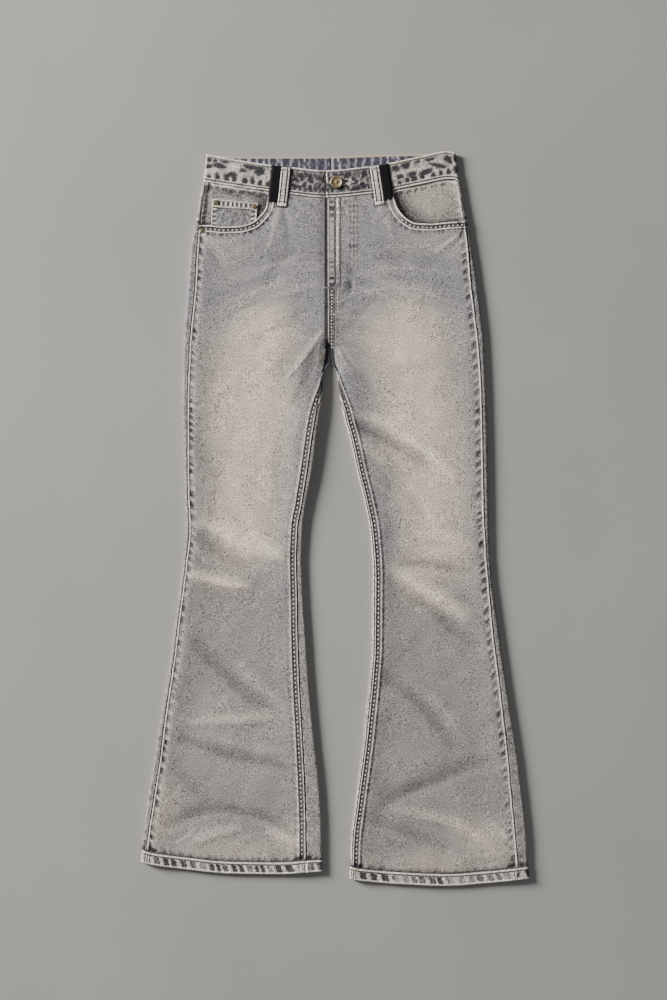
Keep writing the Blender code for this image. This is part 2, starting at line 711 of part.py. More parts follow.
def rivets(collection):
    r = RIVET_RADIUS
    h = RIVET_HEIGHT
    profile = [(0, h), (r * 0.45, h - 0.05), (r * 0.8, h - 0.35), (r, 0.3), (r, 0), (0, 0)]
    for row in RIVETS:
        leg = LEGS["right" if row.x < 0 else "left"]
        seats = []
        for i in range(12):
            angle = i / 12 * 2 * math.pi
            x = row.x + r * math.cos(angle)
            y = row.y + r * math.sin(angle)
            seats.append(coin_height(x, y) if row.seat == "coin" else front_height(leg, x, y))
        finish = "copper" if row.seat == "coin" else "brass"
        turned(row.name, profile, (row.x, row.y, max(seats) + SEAM_GAP), 14, collection, finish)


def fly_zip(collection):
    """The zip's tape under the fly, just below both front panels."""
    points = []
    for y in (ZIP_FOOT, (ZIP_FOOT + ZIP_HEAD) / 2, ZIP_HEAD):
        row = []
        for share in (-0.5, 0.5):
            x = -11.0 + share * ZIP_WIDTH
            row.append((x, y, FLY_REST_HEIGHT - WALL - 2 * SEAM_GAP))
        points.append(row)
    layer("fly_zip", points, ZIP_WALL, collection, "zip_tape")


def main():
    clear_scene()
    jeans = new_collection("Jeans")
    cutters = new_collection("Cutters", hidden=True)
    for leg in LEGS.values():
        back_panel(leg, jeans)
        front = front_panel(leg, jeans)
        opening = outline_prism(leg.name + "_opening", opening_outline(leg, 0.0), -5, 20, cutters)
        add_boolean(front, opening, "DIFFERENCE")
        pocket_facing(leg, jeans)
        band = waistband(leg.name, jeans)
        if leg.name == "left":
            buttonhole(band, cutters)
    coin_pocket(jeans, cutters)
    fly_zip(jeans)
    for row in LOOPS:
        belt_loop(row, jeans)
    waist_button(jeans)
    rivets(jeans)


main()
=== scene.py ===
"""Looks of flared five-pocket jeans laid flat on their back, front up.

Each piece of cloth is a thin shell on its solid's form, made as a fine grid of points whose heights, wear
and painted shade come from the seams and creases. "Right" and "left" are the wearer's: the right leg is at
-X, and the waist is towards +Y. Tables and sizes are in millimetres, and MM turns them into the scene's
metres.
"""

import math
from collections import namedtuple

import bpy
import numpy as np
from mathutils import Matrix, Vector


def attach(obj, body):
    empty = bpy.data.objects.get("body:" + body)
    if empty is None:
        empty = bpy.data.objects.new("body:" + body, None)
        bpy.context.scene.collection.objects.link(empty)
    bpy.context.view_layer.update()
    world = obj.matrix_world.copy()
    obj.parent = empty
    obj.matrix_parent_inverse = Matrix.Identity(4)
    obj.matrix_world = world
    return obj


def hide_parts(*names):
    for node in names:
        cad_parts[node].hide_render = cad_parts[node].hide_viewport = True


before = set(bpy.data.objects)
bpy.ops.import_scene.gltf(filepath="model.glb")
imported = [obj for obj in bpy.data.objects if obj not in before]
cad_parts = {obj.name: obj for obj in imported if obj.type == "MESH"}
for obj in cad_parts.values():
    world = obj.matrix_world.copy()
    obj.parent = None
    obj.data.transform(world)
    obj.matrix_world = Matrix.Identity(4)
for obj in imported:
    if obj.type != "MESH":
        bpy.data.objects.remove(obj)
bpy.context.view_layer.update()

MM = 0.001
ROOT = "root"

# Cloth and seams, as in the solids
WALL = 1.5
SHELL = 1.1
COIN_WALL = 0.9
LOOP_WALL = 1.0
BAND_WALL = 2.4
TRIM_WALL = 1.2
SEAM_GAP = 0.3
WAIST_SEAM_GAP = 0.7
LEG_HEIGHT = 6.8
BAND_HEIGHT = 7.0
BAND_WIDTH = 39.0
FOLD_RADIUS = 3.4
CENTRE_BACK = -6.0

# How the front lies on the back
REST_HEIGHT = 4.4
FLY_REST_HEIGHT = 5.4
LIFT_REACH = 26.0
HIP_FLAT_FOOT = 365.0
HIP_FLAT_HEAD = 410.0
LEAST_HEIGHT = 3.3

# Crotch
CROTCH = 258.0
WEB_TOP = 232.0
WEB_FOOT = 209.0
WEB_HALF_WIDTH = 14.0

# Fly
FLY_X = -11.0
FLY_WIDTH = 44.0
FLY_FOOT = 317.0
FLY_TACK = 337.5
FLY_CURVE_OFF = 27.5
FLY_CURVE_LEVEL = 340.0
FLY_CURVE_RADIUS = 23.5
FLY_RISE = 0.9
BAND_LAP_END = 35.0
BAND_LAP_START = -13.0
LAP_RAMP = 8.0
LAP_UNDER_TOP = 5.1
LAP_OVER_TOP = 7.8

# Pockets
FACING_FOOT = 412.0
FACING_INNER_MARGIN = 14.0
FACING_CLEARANCE = 0.8
FAN_FOOT = 400.0

# Trim
COIN_HEIGHT = 45.0
LOOP_WIDTH = 12.4
BUTTON_PLACE = (2.0, 491.0)
BUTTON_RADIUS = 9.0
BUTTON_HEIGHT = 2.8
RIVET_RADIUS = 3.5
RIVET_HEIGHT = 1.2

# Grids
ROW_STEP = 2.0
EDGE_STEPS = (
    0, 0.7, 1.4, 2.2, 3, 3.9, 4.8, 5.8, 6.8, 7.8, 8.8, 9.8, 11, 12.4, 14, 16, 18.5, 21.5,
)
MIDDLE_STEPS = 50
HEM_LEVEL = -509.0
LEVEL_FOOT = -462.0
POCKET_LEVEL = 430.0
BAND_LEVEL = 512.0
HEM_RISES = (
    0, 0.7, 1.5, 2.4, 3.6, 5.2, 7, 8.8, 10.6, 12.2, 13.2, 14, 14.8, 15.8, 17, 17.8, 18.6, 19.6, 21, 23,
)
BACK_HEM_RISES = (0, 1, 2.2, 4, 6, 8, 10, 12, 13.2, 14.2, 15.4, 17.2, 18.4, 20, 23, 28, 34)

# Distances from the seams are kept within this, so that what is far from a seam takes none of its wear
# and painted shade
FAR = 40.0


def table(kind, *rows):
    return [kind(*row) for row in rows]


# How a seam marks the cloth beside it, at distances across it: pale, dark, or dark in uneven lumps.
# The pale is wear; the dark is partly unfaded cloth and partly painted shade in the ditches by the
# stitching and beside the folded edges
WearAndShadeRow = namedtuple("WearAndShadeRow", "across pale dark lump", defaults=(0, 0, 0))
SEAMS = {
    "hem": table(
        WearAndShadeRow,
        (0, 1), (2, 1), (3.2, 0.5, 0, 1), (12.2, 0.5, 0, 1), (13, 0.2, 0.85), (14, 0.2, 0.85),
        (14.7, 0.85), (16.9, 0.85), (17.4, 0, 0.95, 0.6), (19.8, 0, 0.85, 0.6), (21.2, 0, 0.1, 0.55),
        (24, 0.05, 0, 0.35), (28, 0),
    ),
    "inseam": table(
        WearAndShadeRow,
        (-6, 0), (-4.5, 0.1, 0, 0.4), (-3.2, 0.1, 0, 0.2), (-2.7, 0.75), (-1.8, 0.75), (-1.4, 0, 1),
        (-0.4, 0, 1), (0, 0.75), (1.1, 0.75), (1.7, 0, 0.75), (3.2, 0, 0.82), (6.6, 0, 0.82),
        (8.2, 0, 0.6), (8.8, 0.5, 0, 0.2), (10.4, 0.45, 0, 0.4), (11.4, 0, 0, 0.5), (14.5, 0, 0, 0.25),
        (18, 0),
    ),
    "side": table(
        WearAndShadeRow,
        (-12, 0), (-9, 0, 0, 0.4), (-4, 0, 0, 0.45), (-2.4, 0.2, 0, 0.3), (-1.8, 0, 0.85),
        (-0.6, 0, 0.85), (0, 0.95), (1.6, 0.95), (2.2, 0.1, 0.3, 0.5), (3.4, 0.05, 0, 0.72),
        (6.4, 0.05, 0, 0.62), (9.5, 0.05, 0, 0.3), (13, 0),
    ),
    "edge": table(
        WearAndShadeRow,
        (0, 1), (1.8, 1), (2.4, 0.1, 0.75), (3.4, 0.1, 0.92), (7.6, 0.1, 0.85), (8.3, 0.75), (9.8, 0.75),
        (10.6, 0, 0, 0.85), (13.5, 0, 0, 0.65), (17, 0),
    ),
    "fly": table(
        WearAndShadeRow,
        (-16, 0), (-7, 0, 0.05, 0.3), (-4.6, 0, 0.35, 0.5), (-3.8, 0, 1), (-0.4, 0, 1), (-0.1, 1),
        (1.5, 1), (2.1, 0.1, 0.75), (3.2, 0.15, 0.15, 0.7), (4.6, 0.3, 0, 0.9), (8.6, 0.3, 0, 0.9),
        (9.6, 0.2, 0.3, 0.6), (10.4, 0.1, 0.9), (12.2, 0.1, 0.9), (12.9, 0.15, 0, 0.4),
        (17.2, 0.15, 0, 0.4), (17.9, 0, 0.7), (19.6, 0, 0.7), (20.4, 0.05, 0.1, 0.3), (25, 0.05, 0, 0.4),
        (30, 0, 0, 0.1), (34, 0),
    ),
    "rise": table(
        WearAndShadeRow,
        (-12, 0), (-4.6, 0, 0.25, 0.4), (-3.9, 0, 1), (-0.4, 0, 1), (-0.1, 1), (1.5, 1), (2.3, 0.1, 0.85),
        (4, 0.1, 0.9), (8.4, 0.1, 0.85), (9.2, 0.2, 0.5, 0.3), (10, 0.1, 0.9), (10.8, 0.1, 0.85),
        (11.6, 0.15, 0.2, 0.5), (13, 0.1, 0.35, 0.6), (17.2, 0.1, 0.35, 0.5), (18.4, 0.1, 0.1, 0.5),
        (21, 0, 0, 0.35), (26, 0),
    ),
    "curve": table(
        WearAndShadeRow,
        (-16, 0), (-10, 0, 0.04, 0.2), (-6.4, 0.05, 0.05, 0.2), (-5.8, 0, 0.25, 0.8),
        (-4.6, 0, 0.25, 0.8), (-4, 0.2, 0, 0.4), (-1.4, 0.2, 0, 0.4), (-0.7, 0, 0.3, 0.8),
        (0.7, 0, 0.3, 0.8), (1.4, 0.2, 0, 0.4), (3.9, 0.2, 0, 0.4), (4.6, 0, 0.25, 0.7),
        (5.8, 0, 0.25, 0.7), (6.6, 0, 0, 0.15), (12, 0),
    ),
}

# How thread lies: the length, pitch and radius of its stitches
BEAD = (3.1, 6.4, 1.1)
SMALL_BEAD = (2.6, 4.8, 0.9)
DASH = (3.6, 7.8, 0.34)
FINE = (2.7, 3.9, 0.36)
BAR = (2.4, 1.7, 0.5)


# Each edge of a leg: x is where the fold reaches, and seam is how far inside it the seam lies on top
EdgeRow = namedtuple("EdgeRow", "y x seam")

RIGHT_OUTER = table(
    EdgeRow,
    (532, -188, 3.4), (494, -192, 3.4), (470, -197, 4.1), (437, -202, 5.1), (397, -210, 9.5),
    (334, -215, 11.0), (253, -221, 9.5), (188, -222, 7.6), (123, -221, 6.3), (44, -219, 4.6),
    (-16, -218, 5.8), (-66, -222, 4.8), (-143, -232, 4.7), (-204, -240, 5.4), (-290, -254, 6.6),
    (-350, -263, 8.2), (-409, -273, 9.0), (-460, -279, 7.2), (-502, -283, 6.6),
)
RIGHT_INNER = table(
    EdgeRow,
    (494, -11, 0.0), (262, -11, 0.0), (247, -13, 3.5), (224, -15, 3.5), (206, -17, 3.7), (166, -20, 6.1),
    (123, -26, 7.3), (74, -32, 8.4), (20, -42, 7.0), (-10, -46, 8.6), (-60, -48, 8.6), (-115, -46, 9.4),
    (-158, -43, 12.0), (-232, -38, 14.7), (-321, -30, 18.1), (-385, -23, 21.9), (-457, -19, 24.0),
    (-514, -19, 23.4),
)
LEFT_OUTER = table(
    EdgeRow,
    (532, 176, 3.4), (494, 181, 3.4), (473, 185, 3.6), (442, 191, 3.8), (409, 197, 4.8), (372, 203, 7.3),
    (336, 208, 9.2), (298, 213, 9.3), (257, 217, 8.3), (191, 220, 6.9), (123, 222, 7.2), (7, 224, 7.0),
    (-44, 225, 5.1), (-85, 228, 4.9), (-115, 232, 6.4), (-180, 241, 9.0), (-236, 249, 9.8),
    (-293, 258, 12.1), (-346, 266, 14.0), (-394, 272, 15.8), (-448, 278, 16.7), (-523, 284, 16.1),
)
LEFT_INNER = table(
    EdgeRow,
    (494, -11, 0.0), (260, -10, 0.0), (244, -1, 3.5), (229, 0, 3.5), (212, 2, 3.5), (186, 6, 3.5),
    (146, 13, 3.8), (120, 20, 4.1), (67, 32, 3.8), (31, 41, 3.6), (-23, 51, 3.6), (-79, 54, 4.4),
    (-140, 53, 5.0), (-184, 53, 4.6), (-225, 50, 5.1), (-273, 45, 5.8), (-321, 40, 5.8), (-371, 34, 5.3),
    (-419, 28, 4.7), (-472, 22, 4.4), (-524, 21, 4.1),
)

# The hem's lower edge, from the outer side of each leg to its inner side
HemRow = namedtuple("HemRow", "x y")
RIGHT_HEM = table(
    HemRow,
    (-283, -500), (-268, -504), (-217, -511), (-154, -517), (-82, -518), (-38, -515), (-19, -514),
)
LEFT_HEM = table(
    HemRow,
    (283, -524), (259, -527), (222, -531), (162, -535), (89, -532), (34, -527), (21, -524),
)

# The waistband's edges, across the front and across the back
BandRow = namedtuple("BandRow", "x front_foot front_head back_foot back_head")
BAND = table(
    BandRow,
    (-192, 493, 532, 491, 532), (-142, 485, 523, 488, 528), (-94, 478, 516, 487, 528),
    (-66, 474, 513, 487, 528), (-15, 469, 508, 487, 528), (50, 474.5, 514, 488, 530),
    (81, 479.5, 519, 489, 531), (132, 490, 530, 490, 532), (166, 496, 536, 491, 532),
    (181, 493, 532, 491, 532),
)

# The pocket openings' edges, from the waistband to the side seam
OpeningRow = namedtuple("OpeningRow", "x y")
RIGHT_OPENING = table(
    OpeningRow,
    (-98, 470), (-100, 456), (-109, 442), (-121, 432), (-139, 427), (-163, 426), (-184, 428), (-212, 428),
)
LEFT_OPENING = table(
    OpeningRow,
    (85.5, 470), (88, 460), (93, 450), (104, 438), (118, 431), (139, 430), (160, 432), (205, 435),
)

# The coin pocket's corners on the right facing: head outer, head inner, foot inner, foot outer
COIN_CORNERS = [(-179, 467), (-113, 460), (-116, 422), (-181, 418)]

# Creases, as ridges (height above 0) or troughs (below 0) from one point to the other. bow bends the
# middle sideways
CreaseRow = namedtuple("CreaseRow", "x0 y0 x1 y1 bow height half_width")
CREASES = table(
    CreaseRow,
    (-20, 274, -69, 209, 0, 0.9, 6), (-28, 244, -58, 172, 0, -1.5, 13),
    (-40, 300, -110, 262, 4, -0.8, 16), (-194, -9, -77, -56, 2, 2.3, 18),
    (-198, -28, -121, -71, 4, -1.6, 17), (-212, -82, -128, -100, 2, 1.9, 10),
    (-190, -102, -120, -120, 2, -1.1, 16), (-201, -177, -77, -286, 12, -1.7, 14),
    (-139, -213, -73, -275, 4, 1, 12), (-219, -297, -73, -289, 0, 1, 13),
    (-223, -323, -62, -366, 4, -1.9, 12), (-180, -318, -70, -345, 4, 0.7, 12),
    (-226, -374, -183, -410, 0, -1, 14), (-241, -447, -150, -425, -6, -1.7, 12),
    (-150, -425, -58, -458, -4, -1.7, 12), (-205, -469, -139, -452, 0, 1.1, 12),
    (-100, -452, -62, -478, 0, 0.9, 12), (-150, 60, -120, -5, 0, 0.6, 13),
    (-205, 120, -170, 60, 0, -0.7, 20), (-75, 120, -90, 10, 0, -0.7, 17),
    (18, 141, 138, 79, -3, -1.9, 12), (29, 152, 175, 57, -17, 1.7, 12), (22, 118, 72, 88, 0, 1, 12),
    (102, -67, 197, -78, -2, -1.7, 12), (84, -74, 190, -147, -2, 2, 17),
    (73, -85, 204, -184, -2, -1.7, 15), (73, -228, 175, -334, -6, -1.7, 14),
    (110, -235, 185, -310, 0, 0.8, 13), (73, -418, 226, -355, -5, -1.8, 14),
    (80, -425, 233, -483, -14, 1.1, 13), (51, -439, 160, -483, -3, -1.5, 12),
    (102, 42, 131, 6, 0, -0.8, 9), (120, -20, 205, -45, -3, 0.9, 14), (4, 262, 60, 318, 0, -0.5, 10),
    (10, 240, 60, 180, 0, -0.8, 12), (-84, 450, -96, 400, 0, 0.8, 5), (-76, 450, -66, 405, 0, -0.7, 5),
    (66, 452, 84, 412, 0, 0.8, 5), (-190, 412, -160, 385, 0, 0.9, 5), (-188, 402, -168, 372, 0, -0.9, 5),
    (180, 414, 150, 392, 0, 0.8, 5), (34, 470, 50, 440, 0, -0.6, 5), (-60, 400, -100, 340, 3, -0.6, 12),
    (60, 400, 110, 345, -3, -0.6, 12),
)

# Narrow pale pulls in the cloth, in the same form, where the height is also how pale they are
PULLS = table(
    CreaseRow,
    (-19.9, 273.6, -68.8, 208.9, -3, 0.95, 1.5), (0, 267, 30, 222, 0, 0.35, 2.4),
    (3, 254, 22, 215, 2, 0.3, 2), (-79, 452, -86, 421, 1, 0.3, 2), (-82, 452, -94, 431, 0, 0.25, 2),
    (-73, 454, -63, 428, 0, 0.22, 2), (71, 456, 82, 428, 0, 0.3, 2), (65, 455, 55, 431, 0, 0.22, 2),
    (-191, 417, -167, 403, 2, 0.35, 2), (-192, 412, -178, 386, 2, 0.35, 2),
    (184, 419, 162, 403, -2, 0.3, 2), (185, 413, 172, 386, -2, 0.28, 2), (-51, 461, -57, 436, 0, 0.2, 2),
    (7, 444, 2.7, 461, 0, 0.6, 1.6), (7, 444, 10.5, 461, 0, 0.6, 1.6), (7, 446, 7, 424, 0, 0.35, 1.8),
    (-21, 371, -145, 310, 8, 0.14, 6), (-26, 345, -135, 292, 8, 0.14, 6),
    (42, 353, 139, 305, -8, 0.13, 6), (30, 335, 120, 294, -8, 0.13, 6), (-120, 400, -180, 366, 5, 0.1, 6),
    (-25, 392, -150, 338, 6, 0.1, 5), (36, 378, 150, 330, -6, 0.1, 5), (110, 405, 175, 376, -5, 0.1, 6),
    (-14, 250, -50, 178, 0, 0.22, 2), (34, 110, 80, 80, 4, 0.25, 3), (48, 60, 120, 20, 4, 0.15, 4),
    (-60, 30, -110, 60, 0, 0.12, 5), (-204, -40, -188, -64, 0, 0.4, 2.4),
    (-228, -470, -205, -452, 2, 0.35, 2.4), (-50, -478, -72, -462, 2, 0.35, 2.4),
    (255, -470, 232, -448, 2, 0.3, 2.4), (-120, -22, -80, -56, 0, 0.2, 4),
    (95, -78, 150, -118, 0, 0.2, 4), (-170, 282, -36, 322, -16, -0.16, 4),
    (-176, 300, -34, 340, -15, 0.14, 4), (-180, 318, -30, 356, -14, -0.13, 4),
    (-176, 336, -26, 372, -13, 0.12, 4), (-165, 352, -28, 388, -12, -0.1, 4),
    (-110, 285, -36, 296, -6, 0.16, 4), (-100, 274, -34, 282, -5, -0.12, 3),
    (-90, 262, -30, 262, -5, 0.14, 3), (-130, 308, -60, 312, -5, -0.1, 4),
    (30, 318, 168, 296, -14, -0.18, 4), (28, 328, 172, 316, -14, 0.15, 4),
    (30, 342, 172, 336, -12, -0.14, 4), (32, 356, 170, 356, -10, 0.14, 4),
    (36, 372, 165, 374, -9, -0.12, 4), (40, 386, 160, 392, -8, 0.12, 4), (6, 292, 70, 286, -5, 0.16, 3),
    (8, 280, 66, 270, -4, -0.14, 3), (10, 268, 60, 252, -4, 0.16, 3), (12, 256, 52, 236, -3, -0.12, 3),
    (60, 240, 110, 226, -4, 0.12, 4), (56, 228, 104, 210, -4, -0.1, 4), (24, 138, 100, 94, -3, -0.16, 4),
    (50, 140, 160, 70, -10, 0.3, 6), (110, 88, 134, 64, 0, -0.2, 4), (15, 344, 22, 360, 0, -0.55, 1.3),
    (20, 340, 27, 352, 0, -0.4, 1.2), (9, 336, 17, 352, 0, 0.35, 1.2), (12, 330, 22, 338, 0, -0.35, 1.4),
    (2, 322, 10, 334, 0, 0.3, 1.4),
)

# Soft ellipses, each turned by its angle in degrees: where the cloth is faded, and where it is darker,
# partly as less faded cloth and partly as painted shade beside the fly, in its curve and where the legs
# part
SpotRow = namedtuple("SpotRow", "x y across along angle amount", defaults=(0, 1))
FADES = table(
    SpotRow,
    (-108, 262, 46, 56), (-124, 160, 58, 112, 2, 0.93), (-130, 40, 50, 90, 3, 0.86),
    (-134, -30, 48, 40, 30, 0.75), (-168, -91, 46, 15, -12, 0.5), (106, 256, 54, 60),
    (120, 150, 54, 112, 8, 0.95), (137, 40, 46, 90, 4, 0.9), (142, -50, 50, 46, 10, 0.8),
    (128, -108, 48, 20, -35, 0.55), (-150, -492, 130, 24, 0, 0.3), (-62, -470, 34, 26, 0, 0.4),
    (-252, -425, 22, 50, -10, 0.35), (150, -504, 130, 24, 0, 0.3), (215, -470, 50, 30, -15, 0.4),
    (-150, -300, 80, 70, 0, 0.1), (150, 400, 46, 22, 10, 0.15), (-160, 398, 40, 20, -10, 0.15),
)
SHADES = table(
    SpotRow,
    (-30, 212, 17, 50, -18, 0.34), (-44, 122, 17, 78, -9, 0.2), (-19, 396, 8, 70, 0, 0.38),
    (13, 338, 12, 18, -30, 0.16), (-22, 300, 14, 40, 0, 0.1), (14, 300, 20, 40, 0, 0.08),
    (-172, 342, 26, 34, -20, 0.09), (-36, 385, 26, 60, 0, 0.1), (170, 340, 26, 36, 20, 0.08),
    (-192, -48, 22, 14, 30, 0.1), (-180, -210, 34, 50, 20, 0.06), (-65, -130, 20, 60, 5, 0.1),
    (178, -396, 60, 22, 22, 0.08), (75, -120, 30, 14, -35, 0.08), (50, -190, 18, 60, 0, 0.07),
)

# Dark patches on the waistband's front, where the cloth lay in rolls while it was washed
BLOBS = table(
    SpotRow,
    (-183, 525, 4.2, 5.4), (-174, 523, 3.6, 4.8), (-160, 523, 8.4, 4.8, -10), (-184, 514, 6, 3.6),
    (-169, 515, 10.8, 4.3, -14), (-150, 502, 8.4, 4.3), (-171, 498, 3.6, 6), (-158, 496, 4.1, 7.2),
    (-147, 496, 3.7, 7.2), (-131, 492, 4.3, 6), (-120, 491, 3.5, 7.8), (-109, 487, 3.5, 7.2),
    (-98, 486, 3.6, 6.5), (-123, 515, 10.8, 6.5, -5), (-110, 508, 8.4, 8.4), (-134, 508, 6, 4.2, 0, 0.8),
    (-97, 516, 3.6, 5.3, 0, 0.9), (-183, 498, 3.4, 4.8, 0, 0.8), (89, 511, 6, 5.3), (103, 517, 7.2, 8.4),
    (95, 499, 5.5, 3.8), (112, 502, 7.2, 4.3, 15), (105.6, 493.5, 3.8, 4.8), (116, 495, 5.5, 6.5),
    (127.5, 499, 3.6, 5.3), (133, 506, 10.8, 4.3, 20), (137, 526, 8.4, 5), (150, 515, 13.2, 3.4, -15),
    (165, 524, 7.8, 5, -40), (176, 526, 3.6, 6), (154.5, 502, 3.4, 6.5), (144, 499, 3.4, 6.5),
    (166, 505, 3.6, 5.5), (176, 509, 3.6, 6), (120, 521, 4.8, 3.6, 0, 0.8), (94, 489, 3.6, 4.8, 0, 0.9),
)

# The buttonhole's two pale sides, past the button to their point, in the creases' form
BUTTONHOLE = table(
    CreaseRow,
    (8, 497, 30, 491.4, 0, 1, 1.5), (8, 485.6, 30, 491, 0, 1, 1.5), (-9, 497, -4, 493, 0, 1, 1.5),
    (-9, 486, -4, 489, 0, 1, 1.5),
)

# Where the pocket facings lie deep in shade
FACING_SHADES = table(
    SpotRow,
    (106, 446, 28, 15, -25, 0.32), (84, 468, 12, 20, 0, 0.4), (-187, 456, 7, 28, 0, 0.12),
    (-103, 458, 10, 20, 15, 0.35), (-150, 477, 50, 6, -8, 0.45),
)

# Belt loops: the middle of the head and of the foot
LoopRow = namedtuple("LoopRow", "name head_x head_y foot_x foot_y tape")
LOOPS = table(
    LoopRow,
    ("right_denim_loop", -71.5, 512, -77.5, 456, False),
    ("right_tape_loop", -84.5, 514, -90.0, 463, True),
    ("left_denim_loop", 57.0, 514, 65.5, 458, False),
    ("left_tape_loop", 70.0, 516, 78.0, 466, True),
)

# Rivets: what carries each, and its place
RivetRow = namedtuple("RivetRow", "name x y seat")
RIVETS = table(
    RivetRow,
    ("right_pocket_rivet", -193.0, 421.0, "panel"),
    ("left_pocket_rivet", 185.0, 424.5, "panel"),
    ("coin_rivet_outer", -173.5, 461.5, "coin"),
    ("coin_rivet_inner", -118.0, 455.5, "coin"),
)


def smooth_curve(places, values):
    """A function on arrays that runs smoothly through the values at the places, with no overshoot."""
    order = np.argsort(places)
    at = np.asarray(places, float)[order]
    level = np.asarray(values, float)[order]
    rate = np.diff(level) / np.diff(at)
    slope = np.concatenate([rate[:1], np.zeros(len(rate) - 1), rate[-1:]])
    for i in range(1, len(rate)):
        if rate[i - 1] * rate[i] > 0:
            slope[i] = 2 * rate[i - 1] * rate[i] / (rate[i - 1] + rate[i])

    def value(place):
        place = np.clip(np.asarray(place, float), at[0], at[-1])
        i = np.clip(np.searchsorted(at, place, side="right") - 1, 0, len(at) - 2)
        span = at[i + 1] - at[i]
        t = (place - at[i]) / span
        start = (1 + 2 * t) * (1 - t) ** 2 * level[i] + t * (1 - t) ** 2 * span * slope[i]
        return start + t * t * (3 - 2 * t) * level[i + 1] + t * t * (t - 1) * span * slope[i + 1]

    return value


def column(rows, place, name):
    """The curve through one named column of a table."""
    return smooth_curve([getattr(row, place) for row in rows], [getattr(row, name) for row in rows])


def blend(a, b, share):
    return a + (b - a) * share


def ramp(value, start, end):
    """0 at start, 1 at end, eased."""
    t = np.clip((value - start) / (end - start), 0.0, 1.0)
    return t * t * (3 - 2 * t)


def window(value, start, end, soft):
    """1 between start and end, 0 outside them, with soft sides."""
    return ramp(value, start - soft, start + soft) * (1 - ramp(value, end - soft, end + soft))


front_foot, front_head, back_foot, back_head = (column(BAND, "x", name) for name in BandRow._fields[1:])


def inseam_rise(y):
    """0 where the back lies flat to the centre, 1 where it folds up to the inseam."""
    return 1 - ramp(y, WEB_FOOT, WEB_TOP)


def inseam_slide(along):
    """How far the inseam has slid out under the leg's edge, at a distance from the crotch."""
    return 15.0 * (1 - ramp(along, 12.0, 110.0))


class Path:
    """A line on the cloth, with its distance along and across."""

    def __init__(self, points, step=2.5):
        points = np.asarray(points, float)
        along = np.concatenate([[0], np.cumsum(np.hypot(*np.diff(points, axis=0).T))])
        count = max(int(along[-1] / step), 2) + 1
        self.along = np.linspace(0, along[-1], count)
        self.points = np.column_stack([np.interp(self.along, along, points[:, i]) for i in (0, 1)])
        tangent = np.gradient(self.points, axis=0)
        self.tangent = tangent / np.linalg.norm(tangent, axis=1, keepdims=True)
        self.length = along[-1]

    def locate(self, x, y, reach=24.0):
        """How far along the path each point is and how far to its left: a great distance for far ones."""
        flat = np.column_stack([np.ravel(x), np.ravel(y)])
        along = np.zeros(len(flat))
        across = np.full(len(flat), 1000.0)
        low = self.points.min(0) - reach
        high = self.points.max(0) + reach
        near = np.flatnonzero(((flat > low) & (flat < high)).all(1))
        for start in range(0, len(near), 4000):
            chosen = near[start : start + 4000]
            gap = flat[chosen][:, None, :] - self.points[None]
            k = (gap**2).sum(-1).argmin(1)
            delta = flat[chosen] - self.points[k]
            tangent = self.tangent[k]
            along[chosen] = self.along[k] + (delta * tangent).sum(1)
            side = tangent[:, 0] * delta[:, 1] - tangent[:, 1] * delta[:, 0]
            distance = np.linalg.norm(delta, axis=1)
            beyond = ((k == 0) | (k == len(self.along) - 1)) & (distance > np.abs(side) + 2.0)
            across[chosen] = np.where(beyond, 1000.0, side)
        return along.reshape(np.shape(x)), across.reshape(np.shape(x))

    def moved(self, distance):
        """The path moved to its left, by one distance or by one for each of its points."""
        normal = np.column_stack([-self.tangent[:, 1], self.tangent[:, 0]])
        return Path(self.points + normal * np.reshape(distance, (-1, 1)))

    def part(self, start, end):
        keep = (self.along >= start) & (self.along <= end)
        return Path(self.points[keep])


def lumps(along, pitch, seed, jitter=0.35, least=0.3):
    """Uneven lumps in a row: a phase that is whole at the middle of each one, and their strength there."""
    rng = np.random.RandomState(seed)
    count = int(2200 / pitch)
    centres = np.cumsum(pitch * (1 + jitter * rng.uniform(-1, 1, count))) - 600
    strength = rng.uniform(least, 1, count)
    return np.interp(along, centres, np.arange(count)), np.interp(along, centres, strength)


def crest(phase, share):
    """1 on a lump and 0 between lumps, where lumps take this share of the row."""
    edge = math.cos(math.pi * share)
    return ramp(np.cos(2 * math.pi * phase), edge - 0.35, edge + 0.35)


def patches(along, pitch, share, seed, jitter=0.35, least=0.3):
    phase, strength = lumps(along, pitch, seed, jitter, least)
    return crest(phase, share) * strength


def waves(along, length, seed):
    """A slow uneven wave between -1 and 1."""
    rng = np.random.RandomState(seed)
    total = np.zeros(np.shape(along))
    for k in range(4):
        size = length * (0.6 + 0.35 * k)
        total += np.sin(along * 2 * math.pi / size + rng.uniform(0, 6.28)) / 4
    return total


def relief(x, y, size, seed, stretch=1.0, angle=0.0):
    """Soft uneven bumps between about -1 and 1, of a size in millimetres, longer along the angle."""
    rng = np.random.RandomState(seed)
    turn = math.radians(angle)
    u = (x * math.cos(turn) + y * math.sin(turn)) / stretch
    v = -x * math.sin(turn) + y * math.cos(turn)
    total = np.zeros(np.shape(x))
    for _ in range(10):
        way = rng.uniform(0, 2 * math.pi)
        wave = 2 * math.pi / (size * rng.uniform(0.8, 2.2))
        total += np.sin((u * math.cos(way) + v * math.sin(way)) * wave + rng.uniform(0, 6.28))
    return total / 4.5


